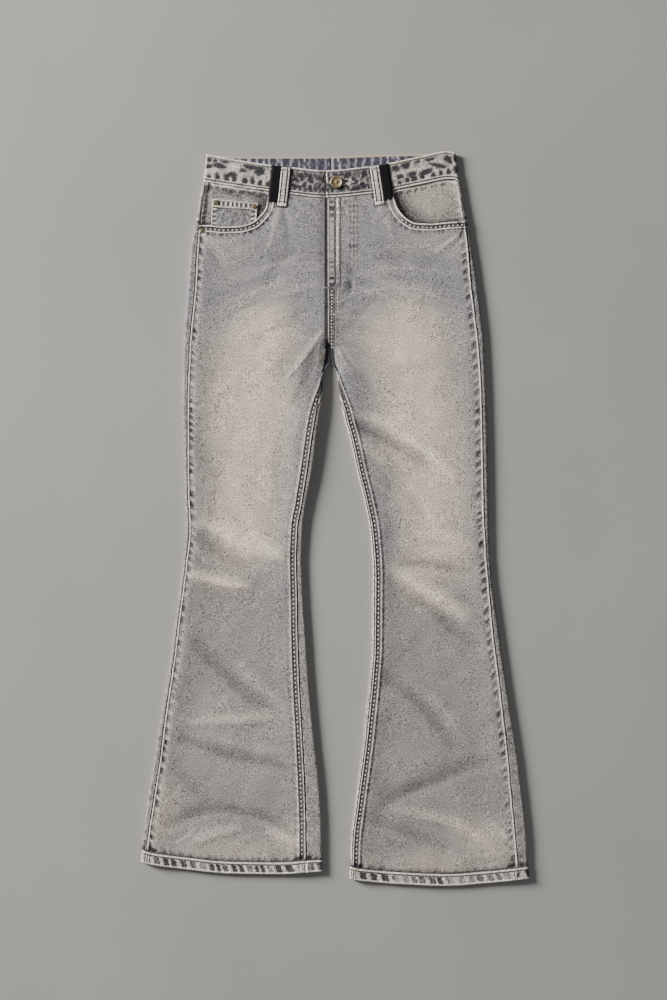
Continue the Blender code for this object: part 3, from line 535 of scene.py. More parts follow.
class Cloth:
    """Points on a piece of cloth: their heights, their wear and painted shade, and their places along and
    across seams.
    """

    def __init__(self, x, y, z):
        self.x = np.asarray(x, float)
        self.y = np.asarray(y, float)
        self.z = np.asarray(z, float) + np.zeros(self.x.shape)
        self.fade, self.pale, self.dark = np.zeros((3, *self.x.shape))
        self.blue = np.full(self.x.shape, 0.8)
        self.seams = {}

    def wash(self):
        """Fade, pale, dark and blue as a colour, each kept within 0 and 1."""
        channels = [self.fade, self.pale, self.dark, self.blue]
        return np.stack([np.clip(channel, 0, 1).ravel() for channel in channels], axis=1)

    def follow(self, name, along, across, lump):
        """Keeps a seam's coordinates: along it, across it, and the phase and strength of its lumps."""
        self.seams[name] = (along, np.clip(across, -FAR, FAR), *lump)

    def limit(self, name, keep, far):
        """Takes a seam's wear and painted shade off every point that isn't kept."""
        along, across, phase, strength = self.seams[name]
        self.seams[name] = (along, np.where(keep, across, far), phase, strength)

    def seam_rows(self, name):
        return np.stack([channel.ravel() for channel in self.seams[name]], axis=1)


class Leg:
    """One leg's curves. out is the direction of its outer side along X."""

    def __init__(self, name, out, outer, inner, hem, opening, seed):
        self.name = name
        self.out = out
        self.seed = seed
        self.outer_x = column(outer, "y", "x")
        self.outer_seam = column(outer, "y", "seam")
        self.inner_x = column(inner, "y", "x")
        self.inner_seam = column(inner, "y", "seam")
        self.hem_y = column(hem, "x", "y")
        self.opening_y = column(opening, "x", "y")
        self.opening_start = opening[0].x
        levels = np.arange(-536.0, 488.0, 4.0)
        outer_edge, inner_edge = self.front_edges(levels)
        self.side_path = Path(np.column_stack([outer_edge, levels]))
        low = levels < 254
        self.inseam_path = Path(np.column_stack([inner_edge, levels])[low][::-1])
        hem_xs = np.linspace(self.outer_x(-505.0), self.inner_x(-510.0), 90)
        self.hem_path = Path(np.column_stack([hem_xs, self.hem_y(hem_xs)]))
        pocket_edge = self.front_edges(POCKET_LEVEL)[0]
        xs = blend(self.opening_start, pocket_edge, np.linspace(0, 1, 120) ** 1.6)
        self.opening_path = Path(np.column_stack([xs, self.opening_y(xs)]), 1.5)

    def front_edges(self, y):
        """The front panel's outer and inner edge at a level."""
        outer = self.outer_x(y) - self.out * (self.outer_seam(y) + SEAM_GAP)
        inset = inseam_rise(y) * (self.inner_seam(y) + SEAM_GAP / 2) + SEAM_GAP / 2
        return outer, self.inner_x(y) + self.out * inset

    def top_y(self, x):
        """Where the front panel ends: at the pocket opening or under the waistband."""
        in_opening = (x - self.opening_start) * self.out > 0
        return np.where(in_opening, self.opening_y(x), front_foot(x) - SEAM_GAP)


LEGS = {
    "right": Leg("right", -1, RIGHT_OUTER, RIGHT_INNER, RIGHT_HEM, RIGHT_OPENING, 100),
    "left": Leg("left", 1, LEFT_OUTER, LEFT_INNER, LEFT_HEM, LEFT_OPENING, 200),
}


def streaks(rows, x, y):
    """Creases or pulls together: each fades across it, more sharply on one side, and to its ends."""
    total = np.zeros(np.shape(x))
    for k, row in enumerate(rows):
        length = math.hypot(row.x1 - row.x0, row.y1 - row.y0)
        along_x = (row.x1 - row.x0) / length
        along_y = (row.y1 - row.y0) / length
        along = (x - row.x0) * along_x + (y - row.y0) * along_y
        across = (x - row.x0) * along_y - (y - row.y0) * along_x
        bend = row.bow * np.sin(math.pi * np.clip(along / length, 0, 1))
        across = across - bend - 0.1 * row.half_width * np.sin(along / 17.0 + k)
        half = row.half_width * np.where(across > 0, 0.65, 1.2)
        beyond = np.maximum(np.maximum(-along, along - length), 0.0) / min(14.0, 3 * row.half_width)
        ends = np.sin(math.pi * np.clip((along + 8) / (length + 16), 0, 1)) ** 0.6
        total += row.height * np.exp(-1.5 * (across / half) ** 2 - beyond**2) * (0.25 + 0.75 * ends)
    return total


def spots(rows, x, y):
    """The strongest of a table's soft ellipses at each point."""
    total = np.zeros(np.shape(x))
    for row in rows:
        turn = math.radians(row.angle)
        u = (x - row.x) * math.cos(turn) + (y - row.y) * math.sin(turn)
        v = -(x - row.x) * math.sin(turn) + (y - row.y) * math.cos(turn)
        share = (u / row.across) ** 2 + (v / row.along) ** 2
        total = np.maximum(total, row.amount * np.exp(-0.8 * share**1.4))
    return total


def cells(x, y, size, seed):
    """Uneven cells: how far inside its own cell each point is, and that cell's own strength."""
    rng = np.random.RandomState(seed)
    grid = np.meshgrid(*(np.arange(part.min() - size, part.max() + size, size) for part in (x, y)))
    centres = np.column_stack([part.ravel() for part in grid])
    centres = centres + rng.uniform(-0.45, 0.45, centres.shape) * size
    strength = rng.uniform(0.6, 1.1, len(centres))
    gap = np.hypot(x.ravel()[:, None] - centres[:, 0], y.ravel()[:, None] - centres[:, 1])
    own = strength[gap.argmin(1)].reshape(x.shape)
    gap = np.partition(gap, 1, axis=1)[:, :2]
    return ((gap[:, 1] - gap[:, 0]) / 2).reshape(x.shape), own


def thigh_swell(leg, y):
    """How far a thigh's inner side stands up below the crotch, most on the right, where it is gathered."""
    return (3.2 if leg.name == "right" else 0.8) * ramp(y, -70.0, 140.0) * (1 - ramp(y, 180.0, 250.0))


def base_height(leg, x, y):
    """Height of the front panel's upper face before its creases, and its distance from each edge."""
    outer, inner = leg.front_edges(y)
    from_outer = np.abs(x - outer)
    from_inner = np.abs(x - inner)
    folded = inseam_rise(y)
    lift = np.exp(-((from_outer / LIFT_REACH) ** 2))
    lift = np.maximum(lift, folded * np.exp(-((from_inner / LIFT_REACH) ** 2)))
    height = blend(REST_HEIGHT, LEG_HEIGHT, lift)
    at_fly = np.exp(-((from_inner / LIFT_REACH) ** 2)) * (1 - folded)
    height = np.maximum(height, blend(REST_HEIGHT, FLY_REST_HEIGHT, at_fly))
    height = blend(height, LEG_HEIGHT, ramp(y, HIP_FLAT_FOOT, HIP_FLAT_HEAD))
    height = height + thigh_swell(leg, y) * np.exp(-((from_inner / 36.0) ** 2))
    return height, from_outer, from_inner, folded


def follow_seams(cloth, leg):
    """Gives the leg's cloth its places along and across the hem and every seam.

    Across is positive on the front panel.
    """
    seed = leg.seed
    x, y = cloth.x, cloth.y
    hem_along, up = leg.hem_path.locate(x, y, FAR)
    up = np.abs(up)
    crossing = np.zeros(x.shape)
    for name, path in (("inseam", leg.inseam_path), ("side", leg.side_path)):
        along, across = path.locate(x, y, FAR)
        inward = np.where(across > FAR, FAR, across * leg.out)
        crossing = np.maximum(crossing, window(inward, -7.5, 8.5, 0.8))
        if name == "inseam":
            shift = inseam_slide(along)
            row = lumps(along, 9.0, seed + 12, 0.4, 0.1)
        else:
            shift = 0.6 * waves(along, 24.0, seed + 5)
            row = lumps(along + 0.5 * inward, 13.0, seed + 21, 0.5, 0.1)
        cloth.follow(name, along, np.where(up > 18.2, inward + shift, FAR), row)
        ribs_at(cloth, inward, up)

    phase, strength = lumps(hem_along - 0.35 * leg.out * up, 13.4, seed + 1, 0.4, 0.35)
    cloth.follow("hem", hem_along, up, (phase, strength * (1 - crossing * (up < 17))))

    along, across = leg.opening_path.locate(x, y, FAR)
    cloth.follow("edge", along, np.abs(across), lumps(along, 8.0, seed + 32, 0.4, 0.1))

    over = x - FLY_X
    side = np.sign(over) * FAR
    phase, strength = lumps(y, 8.5, seed + 41, 0.4, 0.3)
    row = (phase, strength * (0.25 + 0.75 * np.maximum(ramp(y, 425, 445), ramp(y, 385, 368))))
    cloth.follow("fly", y, np.where(y > FLY_TACK, over, side), row)
    cloth.follow("rise", y, np.where((y <= FLY_TACK) & (y > CROTCH - 12), over, side), row)
    along, across = FLY_CURVE.locate(x, y, FAR)
    if leg.name == "right":
        across = np.full(x.shape, FAR)
    cloth.follow("curve", along, across, lumps(along, 8.0, seed + 42, 0.3, 0.2))


def ribs_at(cloth, across, up):
    """The thick end of a seam in the hem: ribs across the turned band, and dark pits above it."""
    crossing = window(up, 2.2, 14.5, 0.5) * window(across, -6.5, 7.0, 0.6)
    ribs = ramp(np.cos(across * 1.9), -0.3, 0.5)
    pit = window(up + 0.4 * np.abs(across), 20.0, 29.0, 1.5) * ramp(up, 16.8, 18.0)
    pit = pit * (window(across, 2.6, 15.0, 1.0) + window(across, -11.0, -2.4, 1.0))
    cloth.pale += 0.8 * crossing * ribs
    # Darker between the ribs, as wear and painted shade, and the sunk pits painted dark as shade
    cloth.dark += 0.8 * crossing * (1 - ribs) + 0.95 * pit
    cloth.z += 0.5 * window(up, -1, 18.0, 1.0) * window(across, -6.0, 6.0, 1.0)
    cloth.z += 0.3 * crossing * ribs - 0.9 * pit


def hem_relief(cloth):
    """The turned hem: a raised band, roped across, between two ridges, with pits above it."""
    _, up, phase, strength = cloth.seams["hem"]
    rope = crest(phase, 0.62) * strength
    pits = window(up, 18.4, 21.4, 0.9) * crest(phase, 0.6) * strength
    cloth.z += 0.7 * window(up, -2, 17.8, 0.7) - 1.0 * rope * window(up, 3.0, 12.4, 0.9)
    cloth.z += 0.3 * (window(up, -1, 2.0, 0.6) + window(up, 14.6, 17.4, 0.5))
    cloth.z -= 0.35 * window(up, 12.9, 14.2, 0.5) + 0.8 * pits
    cloth.z -= 1.6 * (1 - ramp(up, -0.4, 1.6))


def seam_relief(cloth):
    """The raised, sunken and puckered lines along the inseam, the side seam and the pocket's edge."""
    _, across, phase, strength = cloth.seams["inseam"]
    cloth.z += 0.9 * window(across, -0.5, 11.2, 0.8) + 0.3 * window(across, -0.5, 1.9, 0.5)
    cloth.z -= 0.6 * window(across, 3.0, 8.2, 0.5)
    cloth.z -= 0.45 * window(across, 11.8, 15.0, 1.0) * crest(phase, 0.6) * strength
    _, across, phase, strength = cloth.seams["side"]
    cloth.z += 0.5 * window(across, -0.5, 1.9, 0.5)
    cloth.z -= 1.1 * crest(phase, 0.42) * strength * window(across, 3.4, 8.6, 2.2)
    cloth.pale += 0.35 * crest(phase + 0.5, 0.34) * window(across, 3.4, 9.5, 2.4)
    _, across, phase, strength = cloth.seams["edge"]
    cloth.z += 0.7 * window(across, -1, 10.2, 0.7) + 0.3 * window(across, -1, 2.0, 0.5)
    cloth.z -= 0.5 * window(across, 3.2, 8.0, 0.5)
    cloth.z -= 0.5 * window(across, 10.8, 14.0, 1.0) * crest(phase, 0.6) * strength


def fly_relief(cloth, leg):
    """The fly: a raised placket, a ridge beside its folded edge, and puckered rows down to its curve."""
    y, over, phase, strength = cloth.seams["fly"]
    high = ramp(y, FLY_FOOT - 6, FLY_FOOT + 6)
    if leg.name == "right":
        cloth.z -= 0.5 * window(over, -3.0, 1.0, 1.0) * ramp(y, CROTCH, CROTCH + 10)
        return
    cloth.z += FLY_RISE * (1 - ramp(over, FLY_WIDTH - 9, FLY_WIDTH + 4)) * high
    ridge = window(over, 13.0, 16.8, 0.8) * ramp(y, 355, 376)
    cloth.z += 0.8 * ridge
    cloth.pale += 0.6 * ridge * (0.8 + 0.2 * waves(y, 14, 431))
    cloth.z -= 0.35 * window(over, 1.9, 11.0, 0.6) * crest(phase, 0.5) * strength * high
    beside = window(cloth.x, 7, 31, 3) * ramp(y, 350, 390)
    cloth.dark += 0.34 * beside * ramp(relief(cloth.x, y, 5, 433, 2.2, 90), 0.0, 0.8)
    cloth.pale += 0.3 * beside * ramp(relief(cloth.x, y, 6, 434, 2.2, 90), 0.1, 0.9)
    along, across, phase, strength = cloth.seams["curve"]
    for row in (-5.2, 0.0, 5.2):
        cloth.z -= 0.4 * window(across, row - 1.6, row + 1.6, 0.7) * crest(phase + row, 0.5) * strength
    bend = ramp(along, 108, 120)
    cloth.limit("curve", along < 100, FAR)
    cloth.pale += 0.5 * window(across, -0.4, 0.6, 0.4) * bend
    cloth.z += 0.5 * window(across, -1.2, 1.2, 0.6) * bend
    inside = window(across, -11.0, -1.4, 2.0) * window(along, 88, 140, 8)
    cloth.dark += 0.5 * inside * ramp(relief(cloth.x, y, 7, 432, 1.8, 60), -0.5, 0.5)


def fly_curve():
    """The J of the fly's stitches: down beside the fly, then round to its edge."""
    points = [(FLY_CURVE_OFF, 462.0)]
    for angle in math.pi / 2 * np.arange(13) / 12:
        x = FLY_CURVE_OFF - FLY_CURVE_RADIUS * (1 - math.cos(angle))
        points.append((x, FLY_CURVE_LEVEL - FLY_CURVE_RADIUS * math.sin(angle)))
    return Path(points + [(FLY_X + 1.5, 315.5)])


FLY_CURVE = fly_curve()


def crotch_shade(x, y):
    """The deep shade where the legs part: a wedge that widens downwards."""
    half = blend(4.6, 9.8, np.clip((CROTCH - 3 - y) / 50, 0, 1))
    return 1.6 * window(y, 198, CROTCH - 3, 1.5) * (1 - ramp(np.abs(x + 8.0), half - 0.7, half + 0.7))


def loop_frame(row):
    """A belt loop's length, and the direction from its foot to its head."""
    length = math.hypot(row.head_x - row.foot_x, row.head_y - row.foot_y)
    return length, (row.head_x - row.foot_x) / length, (row.head_y - row.foot_y) / length


def loop_shade(x, y):
    """The painted shadow on the cloth round each belt loop."""
    total = np.zeros(np.shape(x))
    for row in LOOPS:
        length, ux, uy = loop_frame(row)
        along = (x - row.foot_x) * ux + (y - row.foot_y) * uy
        off = np.abs((x - row.foot_x) * uy - (y - row.foot_y) * ux)
        beyond = np.maximum(off - 0.5 * LOOP_WIDTH, np.maximum(-along, along - length))
        total = np.maximum(total, 1 - ramp(beyond, 1.7, 3.0))
    return total


def front_surface(leg, x, y):
    """The front panel's cloth at points."""
    height, from_outer, from_inner, folded = base_height(leg, x, y)
    cloth = Cloth(x, y, height)
    nearest = np.minimum(from_outer, np.where(folded > 0.5, from_inner, 1000.0))
    quiet = 1 - np.exp(-((nearest / 9.0) ** 2))
    creases = quiet * streaks(CREASES, x, y)
    pulls = streaks(PULLS, x, y)
    broad = relief(x, y, 60, leg.seed + 53, 1.5, 60)
    cloth.z += creases + 0.9 * quiet + 0.6 * pulls
    cloth.z += quiet * 0.45 * relief(x, y, 46, leg.seed + 51, 1.6, 70) * (1 - 0.4 * ramp(y, 300, 420))
    cloth.z += 0.16 * relief(x, y, 17, leg.seed + 52, 1.8, 30)
    # Crease ridges are painted faded and paler, as wear; troughs are painted darker, partly as unworn cloth
    # and partly as painted shade
    cloth.fade += spots(FADES, x, y) + 0.34 * np.maximum(creases - 0.2, 0) + 0.06 * broad
    cloth.pale += 0.15 * np.clip(creases - 0.35, 0, 2.5) + 0.85 * np.maximum(pulls, 0)
    cloth.dark += 0.24 * np.clip(-creases - 0.15, 0, 3) + 0.9 * np.maximum(-pulls, 0)
    cloth.dark += 0.04 * np.maximum(-broad, 0) + spots(SHADES, x, y)
    cloth.dark += folded * 0.06 * np.exp(-((from_inner / 26.0) ** 2))
    cloth.dark += 0.09 * np.exp(-((from_outer / 15.0) ** 2))
    cloth.blue = 0.1 + ramp(y, 230, 320) + folded * ramp(y, -200, 0) * np.exp(-((from_inner / 45.0) ** 2))
    web = ramp(y, CROTCH + 6, CROTCH - 1) * (1 - folded)
    drop = web * np.maximum(0.0, 1 - from_inner / 10.0)
    cloth.z = blend(cloth.z, LEAST_HEIGHT, drop)
    # Painted shade where the legs part, and a painted shadow round each belt loop
    cloth.dark += crotch_shade(x, y) + loop_shade(x, y)
    follow_seams(cloth, leg)
    seam_relief(cloth)
    fly_relief(cloth, leg)
    hem_relief(cloth)
    under_band = front_foot(x) - y
    shade = patches(x, 11.0, 0.6, leg.seed + 61, 0.4, 0.2)
    # A painted shadow line just under the waistband's edge, then puckers below it, sunk and darker
    cloth.dark += window(under_band, -1, 1.8, 0.6)
    cloth.dark += 0.5 * window(under_band, 3.0, 7.5, 1.5) * shade
    nicks = patches(x - 0.4 * under_band, 5.0, 0.35, leg.seed + 62, 0.4, 0.1)
    cloth.pale += 0.55 * window(under_band, 2.4, 5.0, 1.2) * nicks
    cloth.z -= 0.5 * window(under_band, 2.0, 7.0, 1.5) * shade
    cloth.z = np.maximum(cloth.z, 2.9)
    return cloth


def linked(name, data):
    """A new object in the scene."""
    item = bpy.data.objects.new(name, data)
    bpy.context.scene.collection.objects.link(item)
    return item


def mesh_item(name, points, faces, material=None):
    """A smooth mesh from points in millimetres."""
    mesh = bpy.data.meshes.new(name)
    mesh.from_pydata((np.asarray(points) * MM).tolist(), [], faces)
    mesh.shade_smooth()
    if material:
        mesh.materials.append(material)
    return linked(name, mesh)


def grid_object(name, cloth, flip, seams=()):
    """A mesh of a grid of cloth's points, with its wear, painted shade and places along the seams as
    attributes.
    """
    index = np.arange(cloth.x.size).reshape(cloth.x.shape)
    corners = [index[:-1, :-1], index[:-1, 1:], index[1:, 1:], index[1:, :-1]]
    faces = np.stack([corner.ravel() for corner in (corners[::-1] if flip else corners)], axis=1)
    points = np.stack([cloth.x.ravel(), cloth.y.ravel(), cloth.z.ravel()], axis=1)
    item = mesh_item(name, points, faces.tolist())
    for layer, rows in [("wash", cloth.wash())] + [(seam, cloth.seam_rows(seam)) for seam in seams]:
        paint = item.data.color_attributes.new(layer, "FLOAT_COLOR", "POINT")
        paint.data.foreach_set("color", rows.ravel())
    return item


def thicken(item, wall):
    """Gives a sheet its thickness, on the side away from its normals, for good."""
    solid = item.modifiers.new("Wall", "SOLIDIFY")
    solid.offset = -1
    solid.thickness = wall * MM
    if len(item.data.materials) > 1:
        solid.material_offset = 1
    bpy.context.view_layer.update()
    graph = bpy.context.evaluated_depsgraph_get()
    mesh = bpy.data.meshes.new_from_object(item.evaluated_get(graph))
    old = item.data
    item.modifiers.clear()
    item.data = mesh
    bpy.data.meshes.remove(old)


def cloth_piece(item, node, materials, wall):
    """Finishes a shell: materials, thickness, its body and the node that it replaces."""
    for material in materials:
        item.data.materials.append(material)
    thicken(item, wall)
    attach(item, ROOT)
    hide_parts(node)
    return item


def spread_columns(leg, level, template):
    """The columns of a row across a leg's front at a level, spaced as a template row's are."""
    outer, inner = leg.front_edges(level)
    return blend(outer, inner, (template - template[0]) / (template[-1] - template[0]))


def top_columns(leg, template):
    """The columns of the top row: crowded where the pocket's edge climbs to the waistband."""
    top = spread_columns(leg, POCKET_LEVEL, template)
    gap = top - leg.opening_start - leg.out * 3
    pull = 9.0 * np.exp(-((gap / 22.0) ** 2))
    return top - np.sign(gap) * np.minimum(np.abs(gap) * 0.75, pull)


def front_panel(leg, materials):
    """The front leg panel: rows up from the hem, level rows, and rows that fan out to its top."""
    levels = np.arange(LEVEL_FOOT, FAN_FOOT + 0.1, ROW_STEP)
    edge = np.array(EDGE_STEPS)
    outer, inner = leg.front_edges(levels)
    start = outer[:, None] - leg.out * edge
    end = inner[:, None] + leg.out * edge[::-1]
    share = np.linspace(0, 1, MIDDLE_STEPS + 1)[1:-1]
    level_x = np.concatenate([start, blend(start[:, -1:], end[:, :1], share), end], axis=1)
    hem_x = spread_columns(leg, HEM_LEVEL, level_x[0])
    hem_y = leg.hem_y(hem_x)
    rows = [(hem_x, hem_y + rise) for rise in HEM_RISES]
    above_hem = rows[-1][1]
    for step in np.linspace(0, 1, 12)[1:-1]:
        rows.append((blend(hem_x, level_x[0], step), blend(above_hem, levels[0], step)))
    rows += [(row_x, np.full(row_x.shape, level)) for row_x, level in zip(level_x, levels)]
    top_x = top_columns(leg, level_x[-1])
    top_y = leg.top_y(top_x)
    for step in 1 - (1 - np.linspace(0, 1, 40)[1:]) ** 1.25:
        rows.append((blend(level_x[-1], top_x, step), blend(FAN_FOOT, top_y, step)))
    x, y = np.swapaxes(np.array(rows), 0, 1)
    item = grid_object(leg.name + "_front", front_surface(leg, x, y), leg.out > 0, SEAMS)
    return cloth_piece(item, leg.name + "_front_panel", materials, SHELL)


def fold_points(edge, out, inset_top, height, steps):
    """Points (x, z) from the seam on top, round the fold, to the underside. out is away from the leg."""
    reach = min(FOLD_RADIUS, inset_top - 1.0)
    flat = np.linspace(inset_top, reach, 6)[:-1]
    points = [(edge - out * inset, height) for inset in flat]
    for step in range(-steps, steps + 1):
        angle = math.pi / 2 * step / steps
        radius = reach if step <= 0 else FOLD_RADIUS
        points.append((edge - out * radius * (1 - math.cos(angle)), height / 2 * (1 - math.sin(angle))))
    return points


def back_section(leg, y):
    """Points (x, z) round a back panel at a level, from the side seam underneath to the inseam."""
    outer = fold_points(float(leg.outer_x(y)), leg.out, float(leg.outer_seam(y)), LEG_HEIGHT, 7)
    seam = max(float(leg.inner_seam(y)), 3.4)
    inner = fold_points(float(leg.inner_x(y)), -leg.out, seam, LEG_HEIGHT, 7)[::-1]
    centre = CENTRE_BACK + leg.out * SEAM_GAP / 2
    rise = float(inseam_rise(y))
    tall = rise * (1 + float(thigh_swell(leg, y)) / LEG_HEIGHT)
    flat_start = centre + leg.out * WEB_HALF_WIDTH
    for i, (x, z) in enumerate(inner):
        flat_x = blend(flat_start, centre, i / (len(inner) - 1))
        inner[i] = (blend(flat_x, x, rise), z * tall)
    under = [(blend(outer[-1][0], inner[0][0], i / 26), 0.0) for i in range(1, 26)]
    return np.array(outer + under + inner)


def back_panel(leg, materials):
    """The back leg panel, underneath and folded up round both edges."""
    levels = [("hem", rise) for rise in BACK_HEM_RISES]
    levels += [("level", y) for y in np.arange(-468.0, 470.0, 3.2)] + [("waist", 0)]
    rows = []
    for kind, value in levels:
        level = {"hem": HEM_LEVEL + value, "level": value, "waist": 489.0}[kind]
        x, z = back_section(leg, level).T
        y = np.full(len(x), level)
        if kind == "hem":
            y = leg.hem_y(x) + value
        if kind == "waist":
            y = blend(back_foot(x), front_foot(x), z / LEG_HEIGHT) - WAIST_SEAM_GAP
        rows.append((x, y, z))
    x, y, z = np.swapaxes(np.array(rows), 0, 1)
    cloth = Cloth(x, y, z)
    on_top = ramp(z, 2.0, 5.5)
    cloth.fade += 0.5 * spots(FADES, x, y)
    follow_seams(cloth, leg)
    for name in SEAMS:
        if name != "hem":
            cloth.limit(name, z > 3.2, -FAR)
    beside_seam = on_top * window(np.abs(cloth.seams["side"][1]), 2.0, 12.0, 2.0)
    cloth.dark += 0.35 * beside_seam * patches(y, 14, 0.5, leg.seed, 0.4)
    strips = Cloth(x, y, z)
    strips.seams = cloth.seams
    hem_relief(strips)
    cloth.z += np.clip(strips.z - z, -0.9, 0.8) * on_top
    from_centre = np.abs(x - CENTRE_BACK)
    cloth.limit("inseam", (y <= WEB_FOOT - 6) | (from_centre >= 26), -FAR)
    # The flat web between the legs is painted near black as shade, on top of the painted crotch shade
    web = window(y, WEB_FOOT - 6, CROTCH + 10, 4.0) * (1 - ramp(from_centre, 12, 22)) * (z < 5)
    cloth.dark += crotch_shade(x, y) + 0.9 * web
    cloth.blue = 0.1 + ramp(y, 230, 320)
    item = grid_object(leg.name + "_back", cloth, leg.out < 0, SEAMS)
    return cloth_piece(item, leg.name + "_back_panel", materials, SHELL)


def band_front_height(name, x):
    """Height of the waistband's upper face on the front, with the lap at the fly."""
    if name == "left":
        return blend(LAP_OVER_TOP, BAND_HEIGHT, ramp(x, BAND_LAP_END, BAND_LAP_END + LAP_RAMP))
    return blend(BAND_HEIGHT, LAP_UNDER_TOP, ramp(x, BAND_LAP_START - 1.5 * LAP_RAMP, BAND_LAP_START - 2))


def band_surface(name, x, y, z, share, on_front):
    """A waistband half's cloth: pale ridges along both edges, and dark patches with pale veins between."""
    leg = LEGS[name]
    cloth = Cloth(x, y, z)
    up = share * BAND_WIDTH
    down = BAND_WIDTH - up
    hidden = 1 - on_front
    ridge = window(up, -1, 1.7, 0.4) + window(down, -1, 2.0, 0.5) + 0.8 * window(up, 4.0, 5.4, 0.4)
    groove = 1.6 * window(up, 1.9, 3.9, 0.3) + window(down, 2.5, 3.9, 0.4)
    within = window(up, 5.6, 34.6, 0.8)
    depth, strength = cells(x, 0.8 * y, 10.5, leg.seed + 81)
    between_loops = window(x, -68.0, 52.0, 5.0)
    ragged = relief(x, y, 5, leg.seed + 83)
    low_row = window(up, 6.5, 15, 2.0) * patches(x + 0.3 * up, 7.6, 0.62, leg.seed + 86, 0.35, 0.55)
    high_row = window(down, 6, 15, 2.5) * patches(x - 0.3 * down, 10.0, 0.62, leg.seed + 87, 0.4, 0.5)
    veined = np.maximum.reduce([ramp(depth + 0.6 * ragged, 0.1, 1.8) * strength, low_row, high_row])
    veined = 1.2 * between_loops * veined
    patch = ramp(spots(BLOBS, x, y) + 0.14 * ragged, -0.05, 0.8)
    mottle = 0.48 * ramp(relief(x, y, 13, leg.seed + 84, 1.6, -15), -0.3, 0.8)
    shade = within * np.minimum(np.maximum.reduce([veined, patch, mottle]), 0.95)
    cloth.z += on_front * (0.35 * ridge - 0.35 * groove - 0.4 * shade)
    cloth.z += on_front * 0.5 * relief(x, y, 24, leg.seed + 85, 1.5, 10)
    dashes = 0.6 + 0.4 * patches(x, 4.6, 0.6, leg.seed + 88, 0.2, 0.6)
    # Dark patches, and grooves by the stitching that are dark partly as unworn cloth and partly as painted
    # shade
    cloth.dark += on_front * (shade + 0.85 * groove * dashes)
    cloth.pale += on_front * (ridge + (1 - ridge) * (0.55 - 0.42 * between_loops))
    # A painted shadow round each belt loop
    cloth.dark += on_front * loop_shade(x, y)
    if name == "left":
        from_lap = x - BAND_LAP_START
        cloth.pale += on_front * window(from_lap, -1, 2.6, 0.5)
        cloth.dark += on_front * window(from_lap, 3.1, 4.3, 0.4) * window(up, 3, 36, 0.5)
        cloth.pale += on_front * streaks(BUTTONHOLE, x, y)
    else:
        # A painted shadow on the right half under the left half's lap, reaching just past its edge
        cloth.dark += on_front * 0.9 * window(x, BAND_LAP_START - 2.6, 40, 0.8)
    ticks = patches(x + 1.6 * relief(x, y, 12, leg.seed + 89), 10.5, 0.24, leg.seed + 90, 0.45, 0.4)
    cloth.pale += hidden * ticks
    cloth.fade += hidden * window(down, -1, 1.7, 0.4)
    cloth.dark += hidden * (0.25 + 0.7 * window(down, 2.2, 3.8, 0.4))
    return cloth


def band_path(name):
    leg = LEGS[name]
    out = leg.out
    edge = float(leg.outer_x(BAND_LEVEL))
    fold = fold_points(edge, out, FOLD_RADIUS + 1.5, BAND_HEIGHT, 6)
    lap = BAND_LAP_END if name == "right" else BAND_LAP_START
    front_x = np.arange(0, abs(fold[0][0] - lap), 1.25) * out + lap
    front = [(x, float(band_front_height(name, x))) for x in front_x]
    end = CENTRE_BACK + out * 0.03
    under = [(blend(fold[-1][0], end, i / 70), 0.0) for i in range(1, 71)]
    return np.array(front + fold + under), len(front)


def waistband(name, materials):
    leg = LEGS[name]
    path, front_count = band_path(name)
    near_edges = [0.018, 0.046, 0.075, 0.925, 0.954, 0.982]
    shares = np.unique(np.concatenate([np.linspace(0, 1, 33), near_edges]))
    x0, z0 = path.T
    front = np.where(np.arange(len(x0)) < front_count, 1.0, np.minimum(z0 / BAND_HEIGHT, 1.0))
    foot = blend(back_foot(x0), front_foot(x0), front)
    head = blend(back_head(x0), front_head(x0), front)
    y = blend(foot, head, shares[:, None])
    lean = leg.outer_x(y) - leg.outer_x(BAND_LEVEL)
    x = x0 + lean * np.clip((x0 * leg.out - 100) / 80, 0.0, 1.0)
    cloth = band_surface(name, x, y, *np.broadcast_arrays(z0, shares[:, None], front))
    item = grid_object(name + "_band", cloth, leg.out < 0)
    return cloth_piece(item, name + "_waistband", materials, BAND_WALL)


